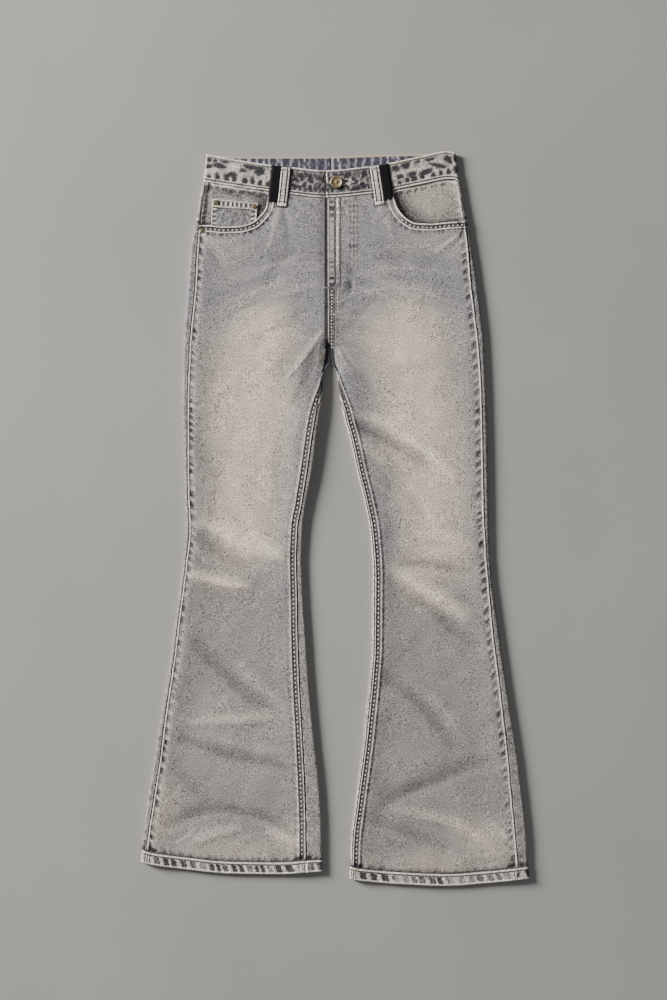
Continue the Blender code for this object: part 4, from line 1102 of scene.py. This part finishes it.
def facing_surface(leg, x, y):
    """The pocket's facing: shaded under the opening, puckered under the waistband and at the side."""
    height = base_height(leg, x, y)[0] - WALL - FACING_CLEARANCE
    cloth = Cloth(x, y, height)
    across = leg.opening_path.locate(x, y, 30)[1]
    near = np.abs(across)
    inner_side = 0.35 + 0.65 * (1 - ramp(np.abs(x - leg.opening_start), 16.0, 60.0))
    shade = 0.7 * (1 - ramp(near, 0.5, 8.0)) + 0.5 * inner_side * (1 - ramp(near, 4.0, 30.0))
    cloth.dark += shade * (near < 500)
    cloth.dark += spots(FACING_SHADES, x, y)
    under_band = front_foot(x) - y
    pucker = patches(x, 13, 0.6, leg.seed + 91, 0.4, 0.2)
    cloth.dark += 0.75 * window(under_band, 5.0, 9.5, 1.4) * pucker
    # A painted shadow line just under the waistband's edge
    cloth.dark += 0.8 * window(under_band, -1.0, 1.0, 0.5)
    cloth.pale += 0.8 * window(under_band, 1.4, 4.6, 0.7)
    cloth.pale += 0.4 * window(under_band, 1.0, 8.0, 1.4) * (1 - pucker)
    cloth.z += 0.6 * window(under_band, 1.0, 7.0, 2.0)
    cloth.z -= 0.5 * window(under_band, 7.0, 12.0, 1.6) * pucker
    from_side = np.abs(x - leg.front_edges(y)[0])
    cloth.pale += 0.9 * window(from_side, -1, 2.6, 0.6)
    side_pucker = patches(y, 9.0, 0.6, leg.seed + 93, 0.4, 0.2)
    cloth.dark += 0.6 * window(from_side, 3.0, 7.5, 1.0) * side_pucker
    cloth.z += 1.5 * (1 - ramp(from_side, 3.0, 9.0)) - 0.4 * window(from_side, 3.0, 8.0, 1.0) * side_pucker
    if leg.name == "right":
        mottle = ramp(relief(x, y, 9, leg.seed + 94), 0.1, 0.5)
        cloth.dark += 0.35 * mottle * window(x, -200.0, -100.0, 6.0)
    cloth.z += 0.6 * relief(x, y, 30, leg.seed + 92, 1.8, 25)
    cloth.fade += 0.35 if leg.name == "left" else 0.15
    cloth.dark = np.minimum(cloth.dark, 0.82)
    return cloth


def pocket_facing(leg, materials):
    inner = leg.opening_start - leg.out * FACING_INNER_MARGIN
    shares = np.linspace(0, 1, 58)
    outer = leg.front_edges(blend(FACING_FOOT, 490.0, shares))[0]
    steps = np.linspace(0, 1, 90)
    x = blend(outer[:, None], inner, steps)
    y = blend(FACING_FOOT, front_foot(x) - SEAM_GAP, shares[:, None])
    cloth = facing_surface(leg, x, y)
    item = grid_object(leg.name + "_facing", cloth, leg.out > 0)
    return cloth_piece(item, leg.name + "_pocket_facing", materials, SHELL)


def coin_point(across, up):
    """The coin pocket's point at shares across (outer to inner) and up (foot to head)."""
    head_outer, head_inner, foot_inner, foot_outer = COIN_CORNERS
    foot = [blend(a, b, across) for a, b in zip(foot_outer, foot_inner)]
    head = [blend(a, b, across) for a, b in zip(head_outer, head_inner)]
    return [blend(a, b, up) for a, b in zip(foot, head)]


def coin_pocket(materials):
    """The coin pocket: a hem with blocks of thread, stitched sides and mottled cloth between."""
    leg = LEGS["right"]
    rows = 46
    across = np.linspace(0, 1, 66)[None]
    foot = coin_point(across, 0.0)
    head = coin_point(across, 1.0)
    lowest = leg.opening_y(foot[0]) + 0.6
    start = np.clip((lowest - foot[1]) / (head[1] - foot[1]), 0, 1)
    up = start + (1 - start) * np.linspace(0, 1, rows)[:, None]
    x, y = coin_point(np.repeat(across, rows, axis=0), up)
    base = facing_surface(leg, x, y)
    cloth = Cloth(x, y, base.z + SEAM_GAP + TRIM_WALL)
    width = np.abs(head[0][0, -1] - head[0][0, 0])
    from_head = (1 - up) * COIN_HEIGHT
    from_side = np.minimum(across, 1 - across) * width + np.zeros(x.shape)
    in_hem = window(from_head, 2.4, 8.6, 0.6)
    in_side = window(from_side, 2.0, 7.0, 0.6) * ramp(from_head, 10, 12)
    head_dots = patches(x, 6.6, 0.42, 401, 0.1, 0.9)
    side_dots = patches(y, 7.0, 0.45, 402, 0.15, 0.8)
    head_edges = window(from_head, -1, 1.5, 0.4) + window(from_head, 9.4, 11.0, 0.4)
    side_edge = window(from_side, -1, 1.3, 0.4)
    mottle = ramp(relief(x, y, 8, 403) + 0.4 * relief(x, y, 4, 404), -0.1, 0.5)
    inside = window(from_side, 8.0, 100, 1.0) * ramp(from_head, 11.6, 13.0)
    cloth.z += 0.5 * window(from_head, -2, 10.5, 0.6) - 0.4 * in_hem * (1 - head_dots)
    cloth.z += 0.25 * (head_edges + side_edge) - 0.35 * in_side * (1 - side_dots) - 0.3 * inside * mottle
    cloth.pale += head_edges + 0.9 * side_edge + in_hem * head_dots + 0.85 * in_side * side_dots
    cloth.dark += 0.66 * in_hem * (1 - head_dots) + 0.7 * in_side * (1 - side_dots) + 0.4 * inside * mottle
    cloth.dark += 0.8 * window(from_head, 11.2, 12.6, 0.4) * window(from_side, 7, 100, 1)
    item = grid_object("coin_pocket_cloth", cloth, leg.out > 0)
    return cloth_piece(item, "coin_pocket", materials, COIN_WALL)


def loop_base(x, y):
    """The highest cloth under a belt loop."""
    heights = []
    for name, leg in LEGS.items():
        panel = base_height(leg, x, np.minimum(y, 480))[0]
        band = band_front_height(name, x)
        heights.append(np.maximum(panel, blend(panel, band, ramp(y, front_foot(x) - 8, front_foot(x) - 3))))
    return np.where(x < BAND_LAP_START, *heights) + 0.25


def belt_loop(row, materials):
    """A belt loop over the waistband: two lengthwise rows of stitches on denim, flat on tape."""
    length, ux, uy = loop_frame(row)
    up = np.linspace(0, 1, 60)[:, None]
    across = np.linspace(-0.5, 0.5, 25)[None]
    x = blend(row.foot_x, row.head_x, up) + uy * across * LOOP_WIDTH
    y = blend(row.foot_y, row.head_y, up) - ux * across * LOOP_WIDTH
    cloth = Cloth(x, y, loop_base(x, y) + SEAM_GAP + TRIM_WALL)
    places = (np.abs(across) * LOOP_WIDTH, up * length, (1 - up) * length)
    off, from_foot, from_head = np.broadcast_arrays(*places)
    cloth.z -= 0.5 * ramp(off, 5.0, 6.3) + 0.5 * (1 - ramp(from_foot, 0.0, 1.6))
    cloth.z -= 0.9 * (1 - ramp(from_head, 0.0, 2.0))
    if row.tape:
        cloth.z += 0.1 * np.sin(x * 5.2) + 0.15 * relief(x, y, 14, 500)
        cloth.z -= 0.4 * window(from_foot, 3.5, 5.0, 0.6)
    else:
        groove = window(off, 2.4, 4.5, 0.4)
        bar = window(from_foot, 4.4, 6.6, 0.5) + window(from_head, 3.4, 5.2, 0.5)
        wobble = patches(from_foot, 7, 0.6, int(abs(row.foot_x)), 0.3, 0.2)
        cloth.z += 0.35 * (1 - ramp(off, 2.4, 3.2)) - 0.3 * groove - 0.35 * bar
        cloth.z += 0.5 * window(from_foot, 0.6, 4.4, 0.6)
        cloth.pale += window(off, 4.7, 7, 0.4) + 0.5 * (1 - ramp(off, 1.6, 2.6))
        cloth.pale += 0.9 * (1 - ramp(from_foot, 3.5, 4.4))
        # The grooves by the stitching are dark partly as unworn cloth and partly as painted shade
        cloth.dark += 1.7 * groove * window(from_foot, 4.0, 50, 0.6) * (0.8 + 0.2 * wobble)
        cloth.dark += 0.7 * bar
    item = grid_object(row.name + "_cloth", cloth, True)
    return cloth_piece(item, row.name, materials, LOOP_WALL)


class Graph:
    """Short ways to build a material's nodes."""

    def __init__(self, name):
        self.material = bpy.data.materials.new(name)
        self.material.use_nodes = True
        self.tree = self.material.node_tree
        self.shader = self.tree.nodes["Principled BSDF"]

    def feed(self, socket, value):
        if isinstance(value, bpy.types.NodeSocket):
            self.tree.links.new(value, socket)
        else:
            socket.default_value = value

    def node(self, kind, settings=None, **inputs):
        made = self.tree.nodes.new("ShaderNode" + kind)
        for key, value in (settings or {}).items():
            setattr(made, key, value)
        for key, value in inputs.items():
            self.feed(made.inputs[key.replace("_", " ")], value)
        return made

    def math(self, operation, *values, clamp=False):
        made = self.node("Math", {"operation": operation, "use_clamp": clamp})
        for socket, value in zip(made.inputs, values):
            self.feed(socket, value)
        return made.outputs[0]

    def plus(self, a, b, clamp=False):
        return self.math("ADD", a, b, clamp=clamp)

    def times(self, a, b, clamp=False):
        return self.math("MULTIPLY", a, b, clamp=clamp)

    def mix(self, factor, a, b, mode="MIX"):
        made = self.node("Mix", {"data_type": "RGBA", "blend_type": mode}, Factor=factor)
        for socket, colour in zip(made.inputs[6:8], (a, b)):
            self.feed(socket, colour if isinstance(colour, bpy.types.NodeSocket) else (*colour, 1))
        return made.outputs[2]

    def parts(self, colour):
        return self.node("SeparateColor", Color=colour).outputs

    def place(self, stretch=1.0, angle=0.0):
        """Object coordinates in millimetres, turned, and longer along Y where they are stretched."""
        turn = (0, 0, math.radians(angle))
        scale = (1000, 1000 / stretch, 1000)
        source = self.node("TexCoord").outputs["Object"]
        return self.node("Mapping", Vector=source, Rotation=turn, Scale=scale).outputs["Vector"]

    def noise(self, size, detail=2.0, rough=0.5, stretch=1.0):
        """Noise whose lumps are about a size in millimetres."""
        inputs = {"Vector": self.place(stretch), "Scale": 1 / size, "Detail": detail}
        return self.node("TexNoise", Roughness=rough, **inputs).outputs["Fac"]

    def bands(self, way, scale, distortion, detail=2.0, angle=0.0):
        settings = {"wave_type": "BANDS", "bands_direction": way}
        inputs = {"Vector": self.place(angle=angle), "Scale": scale, "Distortion": distortion}
        return self.node("TexWave", settings, Detail=detail, **inputs).outputs["Fac"]

    def spread(self, value, low, high, out_low=0.0, out_high=1.0, kind="LINEAR"):
        ends = {"From_Min": low, "From_Max": high, "To_Min": out_low, "To_Max": out_high}
        return self.node("MapRange", {"interpolation_type": kind}, Value=value, **ends).outputs["Result"]

    def crest(self, phase, share, ragged):
        """1 on each lump of a row and 0 between them, with ragged sides."""
        wave = self.plus(self.math("COSINE", self.times(phase, 2 * math.pi)), ragged)
        edge = math.cos(math.pi * share)
        return self.spread(wave, edge - 0.35, edge + 0.35, kind="SMOOTHSTEP")

    def finish(self, colour, roughness, height=None, depth=0.0005, strength=1.0, sheen=0.0, gloss=0.18):
        settings = {"Base Color": colour, "Roughness": roughness, "Specular IOR Level": gloss}
        settings.update({"Sheen Weight": sheen, "Sheen Roughness": 0.6})
        if height is not None:
            bump = self.node("Bump", Height=height, Distance=depth, Strength=strength)
            settings["Normal"] = bump.outputs["Normal"]
        for key, value in settings.items():
            self.feed(self.shader.inputs[key], value)
        return self.material


BLUE_GREY = (0.212, 0.203, 0.211)
GREY = (0.222, 0.209, 0.197)
BEIGE = (0.535, 0.455, 0.357)
CREAM = (0.70, 0.64, 0.56)
INDIGO = (0.033, 0.031, 0.036)


def seam_layer(graph, name, ragged):
    """One seam's wear and painted shade as a vector: pale and dark."""
    rows = SEAMS[name]
    start, end = rows[0].across, rows[-1].across
    attribute = graph.node("Attribute", {"attribute_name": name}).outputs
    along, across, phase = graph.node("SeparateXYZ", Vector=attribute["Vector"]).outputs
    ramp_node = graph.node("ValToRGB", Fac=graph.spread(across, start, end))
    stops = ramp_node.color_ramp.elements
    while len(stops) < len(rows):
        stops.new(0.5)
    for stop, row in zip(stops, rows):
        stop.position = (row.across - start) / (end - start)
    for stop, row in zip(stops, rows):
        stop.color = (row.pale, row.dark, row.lump, 1)
    pale, dark, lump = graph.parts(ramp_node.outputs["Color"])
    lump = graph.times(graph.times(lump, attribute["Alpha"]), graph.crest(phase, 0.6, ragged))
    if name == "edge":
        dark = graph.times(dark, graph.spread(along, 26, 40, 0.25, 1.0))
    dark = graph.math("MAXIMUM", dark, graph.math("MINIMUM", graph.times(lump, 1.3), 0.93))
    return graph.node("CombineXYZ", X=pale, Y=dark).outputs[0]


def seam_masks(graph, ragged):
    """All the seams' wear and painted shade together: pale and dark."""
    layers = [seam_layer(graph, name, ragged) for name in SEAMS]
    total = layers[0]
    for layer in layers[1:]:
        most = graph.node("VectorMath", {"operation": "MAXIMUM"})
        graph.feed(most.inputs[0], total)
        graph.feed(most.inputs[1], layer)
        total = most.outputs[0]
    return graph.node("SeparateXYZ", Vector=total).outputs


def denim_material(name, base_tone=1.0, with_seams=False, fraying=2.2):
    """Washed twill: a finely grained grey ground, faded, worn and darker where the attributes say, partly
    as painted shade.
    """
    graph = Graph(name)
    paint = graph.node("VertexColor", {"layer_name": "wash"}).outputs
    fade, pale, dark = graph.parts(paint["Color"])
    blotch = graph.noise(12, 2, 0.6)
    fray = graph.plus(graph.noise(2.4, 2, 0.65), -0.5)
    twill = graph.bands("X", 0.30, 1.2, 1.0, -52)
    cloud = graph.noise(55, 3, 0.55)
    blue = graph.plus(paint["Alpha"], graph.spread(cloud, 0.36, 0.64, -0.3, 0.3), True)
    uneven = graph.plus(1.0, graph.times(graph.plus(blotch, -0.5), 0.6))
    colour = graph.mix(graph.times(uneven, fade, True), graph.mix(blue, GREY, BLUE_GREY), BEIGE)
    frayed = graph.plus(1.0, graph.times(fray, fraying))
    colour = graph.mix(graph.times(frayed, pale, True), colour, CREAM)
    if with_seams:
        pale, seam_dark, _ = seam_masks(graph, graph.times(fray, 3.2))
        colour = graph.mix(graph.times(frayed, pale, True), colour, CREAM)
        dark = graph.math("MAXIMUM", dark, seam_dark)
    # worn holds the painted dark, partly wear and partly painted shade, made ragged by the fray noise
    worn = graph.plus(graph.times(frayed, dark), graph.spread(dark, 0.9, 1.0, 0.0, 0.5), True)
    colour = graph.mix(worn, colour, INDIGO)
    grain = graph.noise(1.05, 0.5, 0.6)
    slub = graph.noise(1.05, 0.5, 0.6, stretch=1.8)
    speck = graph.plus(graph.times(grain, 0.6), graph.times(slub, 0.4))
    light = graph.spread(speck, 0.34, 0.66, 0.11 * base_tone, 1.89 * base_tone)
    light = graph.times(light, graph.spread(twill, 0.0, 1.0, 0.90, 1.08))
    light = graph.times(light, graph.spread(blotch, 0.3, 0.7, 0.97, 1.03))
    scale = graph.node("CombineColor", Red=light, Green=light, Blue=light).outputs[0]
    height = graph.plus(graph.times(speck, 0.22), graph.times(twill, 0.10))
    height = graph.plus(height, graph.times(graph.math("SUBTRACT", pale, worn), 0.35))
    colour = graph.mix(1.0, colour, scale, "MULTIPLY")
    return graph.finish(colour, graph.spread(speck, 0.3, 0.7, 0.82, 0.95), height, 0.001, 0.7, sheen=0.03)


def inside_material():
    """The waistband's unworn inner face: dark indigo, pale ragged ticks and a tan line along its edge."""
    graph = Graph("denim_inside")
    tan, tick, _ = graph.parts(graph.node("VertexColor", {"layer_name": "wash"}).outputs["Color"])
    fray = graph.noise(2.6, 2, 0.6, stretch=2.5)
    grain = graph.noise(1.2, 2, 0.6)
    dark = graph.mix(graph.spread(grain, 0.3, 0.7), (0.020, 0.020, 0.030), (0.058, 0.058, 0.078))
    mask = graph.times(tick, graph.spread(fray, 0.30, 0.52))
    mask = graph.math("MAXIMUM", mask, graph.spread(fray, 0.56, 0.76, 0.0, 0.45))
    colour = graph.mix(tan, graph.mix(mask, dark, (0.52, 0.50, 0.56)), (0.42, 0.33, 0.24))
    return graph.finish(colour, 0.9, grain, 0.0004, 0.8, sheen=0.02)


def tape_material():
    graph = Graph("black_tape")
    weave = graph.times(graph.bands("Y", 0.35, 0.6), graph.noise(0.9, 2, 0.6))
    colour = graph.mix(graph.spread(weave, 0.1, 0.6), (0.0025, 0.0024, 0.0032), (0.010, 0.0095, 0.0125))
    return graph.finish(colour, 0.8, weave, 0.0004, 0.9, gloss=0.12)


def thread_material(name, colour):
    graph = Graph(name)
    ply = graph.noise(0.5, 1, 0.5)
    mixed = graph.mix(graph.spread(ply, 0.3, 0.7), [0.75 * part for part in colour], colour)
    return graph.finish(mixed, 0.7, ply, 0.0002, 0.6, sheen=0.03)


def metal_material(name, bright, dull):
    """Antique metal: bright where it is rubbed, dull and rougher elsewhere."""
    graph = Graph(name)
    wear = graph.noise(2.2, 4, 0.65)
    graph.shader.inputs["Metallic"].default_value = 0.6
    colour = graph.mix(graph.spread(wear, 0.38, 0.62), dull, bright)
    roughness = graph.spread(wear, 0.35, 0.65, 0.6, 0.4)
    return graph.finish(colour, roughness, graph.noise(0.5, 2, 0.6), 0.0002, 0.35, gloss=0.5)


def zip_material():
    graph = Graph("zip_tape")
    weave = graph.noise(0.8, 2, 0.6)
    return graph.finish(graph.mix(weave, (0.06, 0.06, 0.08), (0.14, 0.14, 0.17)), 0.85, weave, 0.0003, 0.8)


def floor_material():
    graph = Graph("pale_floor")
    cloud = graph.noise(300, 3, 0.5)
    colour = graph.mix(graph.spread(cloud, 0.3, 0.7), (0.262, 0.255, 0.244), (0.282, 0.275, 0.264))
    return graph.finish(colour, 0.85)


def stitch_rows(name, rows, material):
    """Rows of stitches as one mesh: each stitch a short rounded length of thread.

    rows holds a path, the height function under it, and the length, pitch and radius of its stitches.
    """
    sides = 5
    middle = []
    for along, wide, rise in ((-0.4, 0.75, -0.25), (0.0, 1.0, 0.1), (0.4, 0.75, -0.25)):
        for angle in 2 * math.pi * np.arange(sides) / sides + math.pi / 2:
            middle.append((along, wide * math.cos(angle), rise + 0.7 * wide * math.sin(angle)))
    form = np.array([(-0.5, 0.0, -0.9), *middle, (0.5, 0.0, -0.9)])
    end = len(form) - 1
    one = []
    for k in range(sides):
        n = (k + 1) % sides
        one.append((0, 1 + n, 1 + k))
        one += [(a + k, a + n, a + sides + n, a + sides + k) for a in (1, 1 + sides)]
        one.append((end - sides + k, end - sides + n, end))
    points = []
    for path, height, (size, pitch, radius) in rows:
        starts = np.arange(pitch / 2, path.length, pitch)
        parts = (*path.points.T, *path.tangent.T)
        x, y, ux, uy = (np.interp(starts, path.along, part)[:, None] for part in parts)
        along, across, up = (form * (size, radius, radius)).T
        z = height(x[:, 0], y[:, 0])[:, None] + up
        stitches = np.stack([x + ux * along - uy * across, y + uy * along + ux * across, z], axis=-1)
        points.append(stitches.reshape(-1, 3))
    points = np.concatenate(points)
    faces = [tuple(first + k for k in face) for first in range(0, len(points), len(form)) for face in one]
    item = mesh_item(name, points, faces, material)
    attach(item, ROOT)


def front_stitches(leg, pale, worn, grey):
    """The thread on a front leg panel: beads along the inseam and pocket, fine rows at the hem and side."""
    def height(x, y):
        return front_surface(leg, x, y).z

    def above_hem(path):
        return Path(path.points[path.points[:, 1] > leg.hem_y(path.points[:, 0]) + 21])

    out = leg.out
    slide = inseam_slide(leg.inseam_path.along)
    seam = above_hem(leg.side_path.moved(out * 0.9))
    bright = [
        (above_hem(leg.inseam_path.moved(out * (4.9 - slide))).part(76, 2000), height, BEAD),
        (leg.opening_path.moved(-5.5 * out).part(34, 1000), height, BEAD),
        (above_hem(leg.inseam_path.moved(out * 0.6)).part(112, 2000), height, FINE),
        (seam.part(0, seam.length - 62), height, FINE),
        (leg.opening_path.moved(-1.1 * out), height, FINE),
        (leg.opening_path.moved(-9.1 * out), height, FINE),
    ]
    # The hem's row here, and the bars at the fly's foot below, use the thread painted dark as shade
    dull = [(Path(leg.hem_path.points[6:-12]).moved(-13.6 * out), height, FINE)]
    if leg.name == "left":
        for off, top, foot in ((6.3, FLY_TACK - 3, 250), (15.2, FLY_TACK - 4, 301)):
            bright.append((Path([(FLY_X + off, top), (FLY_X + off, foot)]), height, SMALL_BEAD))
        bright.append((Path([(FLY_X + 0.9, 462), (FLY_X + 0.9, 262)]), height, FINE))
        bright.append((FLY_CURVE.part(112, 1000), height, FINE))
        for y, end in ((326, 9.5), (298, 13)):
            bright.append((Path([(FLY_X + 4, y), (FLY_X + end, y)]), height, BAR))
        for y in (337.2, 338.8):
            dull.append((Path([(FLY_X + 1.5, y), (FLY_X + 11, y)]), height, BAR))
        soft = [(FLY_CURVE.moved(off).part(0, 98), height, DASH) for off in (-5.2, 0.0, 5.2)]
        stitch_rows("fly_stitches", soft, worn)
    stitch_rows(leg.name + "_front_stitches", bright, pale)
    stitch_rows(leg.name + "_hem_stitches", dull, grey)


def band_stitches(name, pale, grey):
    """The thread on a waistband half: rows along both edges, and the buttonhole on the left half."""
    def height(x, y):
        foot = front_foot(x)
        share = (y - foot) / (front_head(x) - foot)
        return band_surface(name, x, y, band_front_height(name, x), share, np.ones(np.shape(x))).z

    leg = LEGS[name]
    start = BAND_LAP_START + (5 if name == "left" else -2)
    xs = np.linspace(start, leg.outer_x(BAND_LEVEL) - 5.0 * leg.out, 60)
    edges = [Path(np.column_stack([xs, ys])) for ys in (front_foot(xs) + 3.1, front_head(xs) - 3.2)]
    # Both rows lie in the band's grooves and use the thread painted dark as shade
    stitch_rows(name + "_band_stitches", [(edge, height, FINE) for edge in edges], grey)
    if name == "left":
        eye = Path([(9.5, 496.0), (18, 495.2), (28, 491.2), (18, 487.4), (9.5, 486.2)], 0.8)
        stitch_rows("buttonhole_stitches", [(eye, height, BAR)], pale)


def loop_bars(row, pale):
    """The dense bars of thread that hold a denim loop at its foot and head."""
    length, ux, uy = loop_frame(row)
    half = 0.5 * LOOP_WIDTH - 1.2

    def height(x, y):
        return loop_base(x, y) + SEAM_GAP + TRIM_WALL + 0.1

    bars = []
    for along in (4.9, 6.3, length - 3.8):
        x, y = row.foot_x + ux * along, row.foot_y + uy * along
        ends = [(x - uy * half, y + ux * half), (x + uy * half, y - ux * half)]
        bars.append((Path(ends, 0.8), height, BAR))
    stitch_rows(row.name + "_bars", bars, pale)


def turned(name, profile, place, steps, material, node):
    """A turned piece: a profile of (radius, height) from its middle outwards, swept round."""
    angle = 2 * math.pi * np.arange(steps) / steps
    ring = np.column_stack([np.cos(angle), np.sin(angle)])
    points = np.concatenate([np.column_stack([radius * ring, np.full(steps, z)]) for radius, z in profile])
    last = len(points) - steps
    faces = []
    for first in range(0, last, steps):
        for k in range(steps):
            n = (k + 1) % steps
            faces.append((first + k, first + steps + k, first + steps + n, first + n))
    faces += [tuple(range(steps)), tuple(reversed(range(last, last + steps)))]
    item = mesh_item(name, points + place, faces, material)
    item.data.set_sharp_from_angle(angle=math.radians(50))
    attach(item, ROOT)
    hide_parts(node)


def waist_button(material):
    seat = LAP_OVER_TOP + SEAM_GAP
    r, h = BUTTON_RADIUS, BUTTON_HEIGHT
    profile = [
        (0.3, h - 0.5), (0.8, h - 0.45), (1.2, h - 0.6), (1.5, h - 1.0), (2.0, h - 1.15), (4.5, h - 1.1),
        (6.4, h - 0.85), (6.9, h - 0.3), (7.5, h), (8.1, h - 0.05), (8.6, h - 0.35), (r - 0.1, h - 0.9),
        (r, h - 1.5), (r - 0.4, h - 2.1), (r - 1.2, 0.2), (3.0, 0.1),
        (3.0, LAP_UNDER_TOP + SEAM_GAP - seat),
    ]
    turned("button", profile, (*BUTTON_PLACE, seat), 64, material, "waist_button")


def rivets(brass, copper):
    r, h = RIVET_RADIUS, RIVET_HEIGHT
    profile = [
        (0.2, h - 0.1), (0.9, h - 0.1), (1.3, h - 0.35), (1.8, h - 0.3), (2.4, h), (2.9, h - 0.1),
        (3.3, h - 0.5), (r, 0.3), (r, -0.6),
    ]
    for row in RIVETS:
        x, y = np.array([row.x]), np.array([row.y])
        leg = LEGS["right" if row.x < 0 else "left"]
        if row.seat == "coin":
            seat = float(facing_surface(leg, x, y).z[0]) + SEAM_GAP + TRIM_WALL + 0.6
            metal, slot = copper, "copper"
        else:
            seat = float(base_height(leg, x, y)[0][0]) + 0.5
            metal, slot = brass, "brass"
        turned(row.name + "_cap", profile, (row.x, row.y, seat), 40, metal, row.name)


def area_light(name, place, size, power, colour):
    """A round soft light that faces the middle of the floor."""
    data = bpy.data.lights.new(name, "AREA")
    data.shape = "DISK"
    data.size = size
    data.energy = power
    data.color = colour
    lamp = linked(name, data)
    lamp.location = place
    lamp.rotation_euler = (-Vector(place)).to_track_quat("-Z", "Y").to_euler()


# The studio, in metres but for the camera's sensor
PICTURE_HEIGHT = 1.46
CAMERA_HEIGHT = 3.5
CAMERA_PLACE = (-0.0024, 0.0278)
FLOOR_HALF = 5.0
FLOOR_TOP = -0.0006
SENSOR = 36.0


def studio():
    """The overhead camera, the floor, the lights and the world."""
    data = bpy.data.cameras.new("overhead")
    data.sensor_width = SENSOR
    data.lens = SENSOR * CAMERA_HEIGHT / PICTURE_HEIGHT
    camera = linked("overhead", data)
    camera.location = (*CAMERA_PLACE, CAMERA_HEIGHT)
    bpy.context.scene.camera = camera
    corners = [(-1, -1), (1, -1), (1, 1), (-1, 1)]
    mesh = bpy.data.meshes.new("floor")
    mesh.from_pydata([(FLOOR_HALF * x, FLOOR_HALF * y, FLOOR_TOP) for x, y in corners], [], [(0, 1, 2, 3)])
    mesh.materials.append(floor_material())
    linked("floor", mesh)
    area_light("key", (-5.0, 2.4, 2.1), 2.1, 1290, (1.0, 0.98, 0.95))
    area_light("fill", (1.8, -1.2, 2.4), 2.2, 12, (0.96, 0.98, 1.0))
    world = bpy.data.worlds.new("studio")
    world.use_nodes = True
    background = world.node_tree.nodes["Background"].inputs
    background["Color"].default_value = (0.95, 0.97, 1.0, 1)
    background["Strength"].default_value = 0.19
    bpy.context.scene.world = world


def main():
    studio()
    denim = denim_material("washed_denim", 1.0, True)
    facing = denim_material("facing_denim", 0.9)
    band = denim_material("band_denim", 0.96, fraying=1.3)
    inside = inside_material()
    tape = tape_material()
    thread = thread_material("pale_thread", (0.66, 0.61, 0.54))
    worn_thread = thread_material("worn_thread", (0.36, 0.33, 0.30))
    # Thread painted dark as shade, for the rows at the hem, at the fly's foot and in the waistband's
    # grooves
    shadowed_thread = thread_material("shadowed_thread", (0.085, 0.078, 0.078))
    brass = metal_material("antique_brass", (0.27, 0.215, 0.125), (0.19, 0.14, 0.075))
    dull_brass = metal_material("dull_brass", (0.15, 0.115, 0.075), (0.05, 0.04, 0.028))
    copper = metal_material("antique_copper", (0.19, 0.14, 0.078), (0.08, 0.056, 0.034))
    for side, leg in LEGS.items():
        back_panel(leg, [denim])
        front_panel(leg, [denim])
        pocket_facing(leg, [facing])
        waistband(side, [band, inside])
        front_stitches(leg, thread, worn_thread, shadowed_thread)
        band_stitches(side, thread, shadowed_thread)
    coin_pocket([facing])
    for row in LOOPS:
        belt_loop(row, [tape if row.tape else band])
        if not row.tape:
            loop_bars(row, thread)
    waist_button(brass)
    rivets(dull_brass, copper)
    zip_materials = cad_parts["fly_zip"].data.materials
    zip_materials.clear()
    zip_materials.append(zip_material())


main()
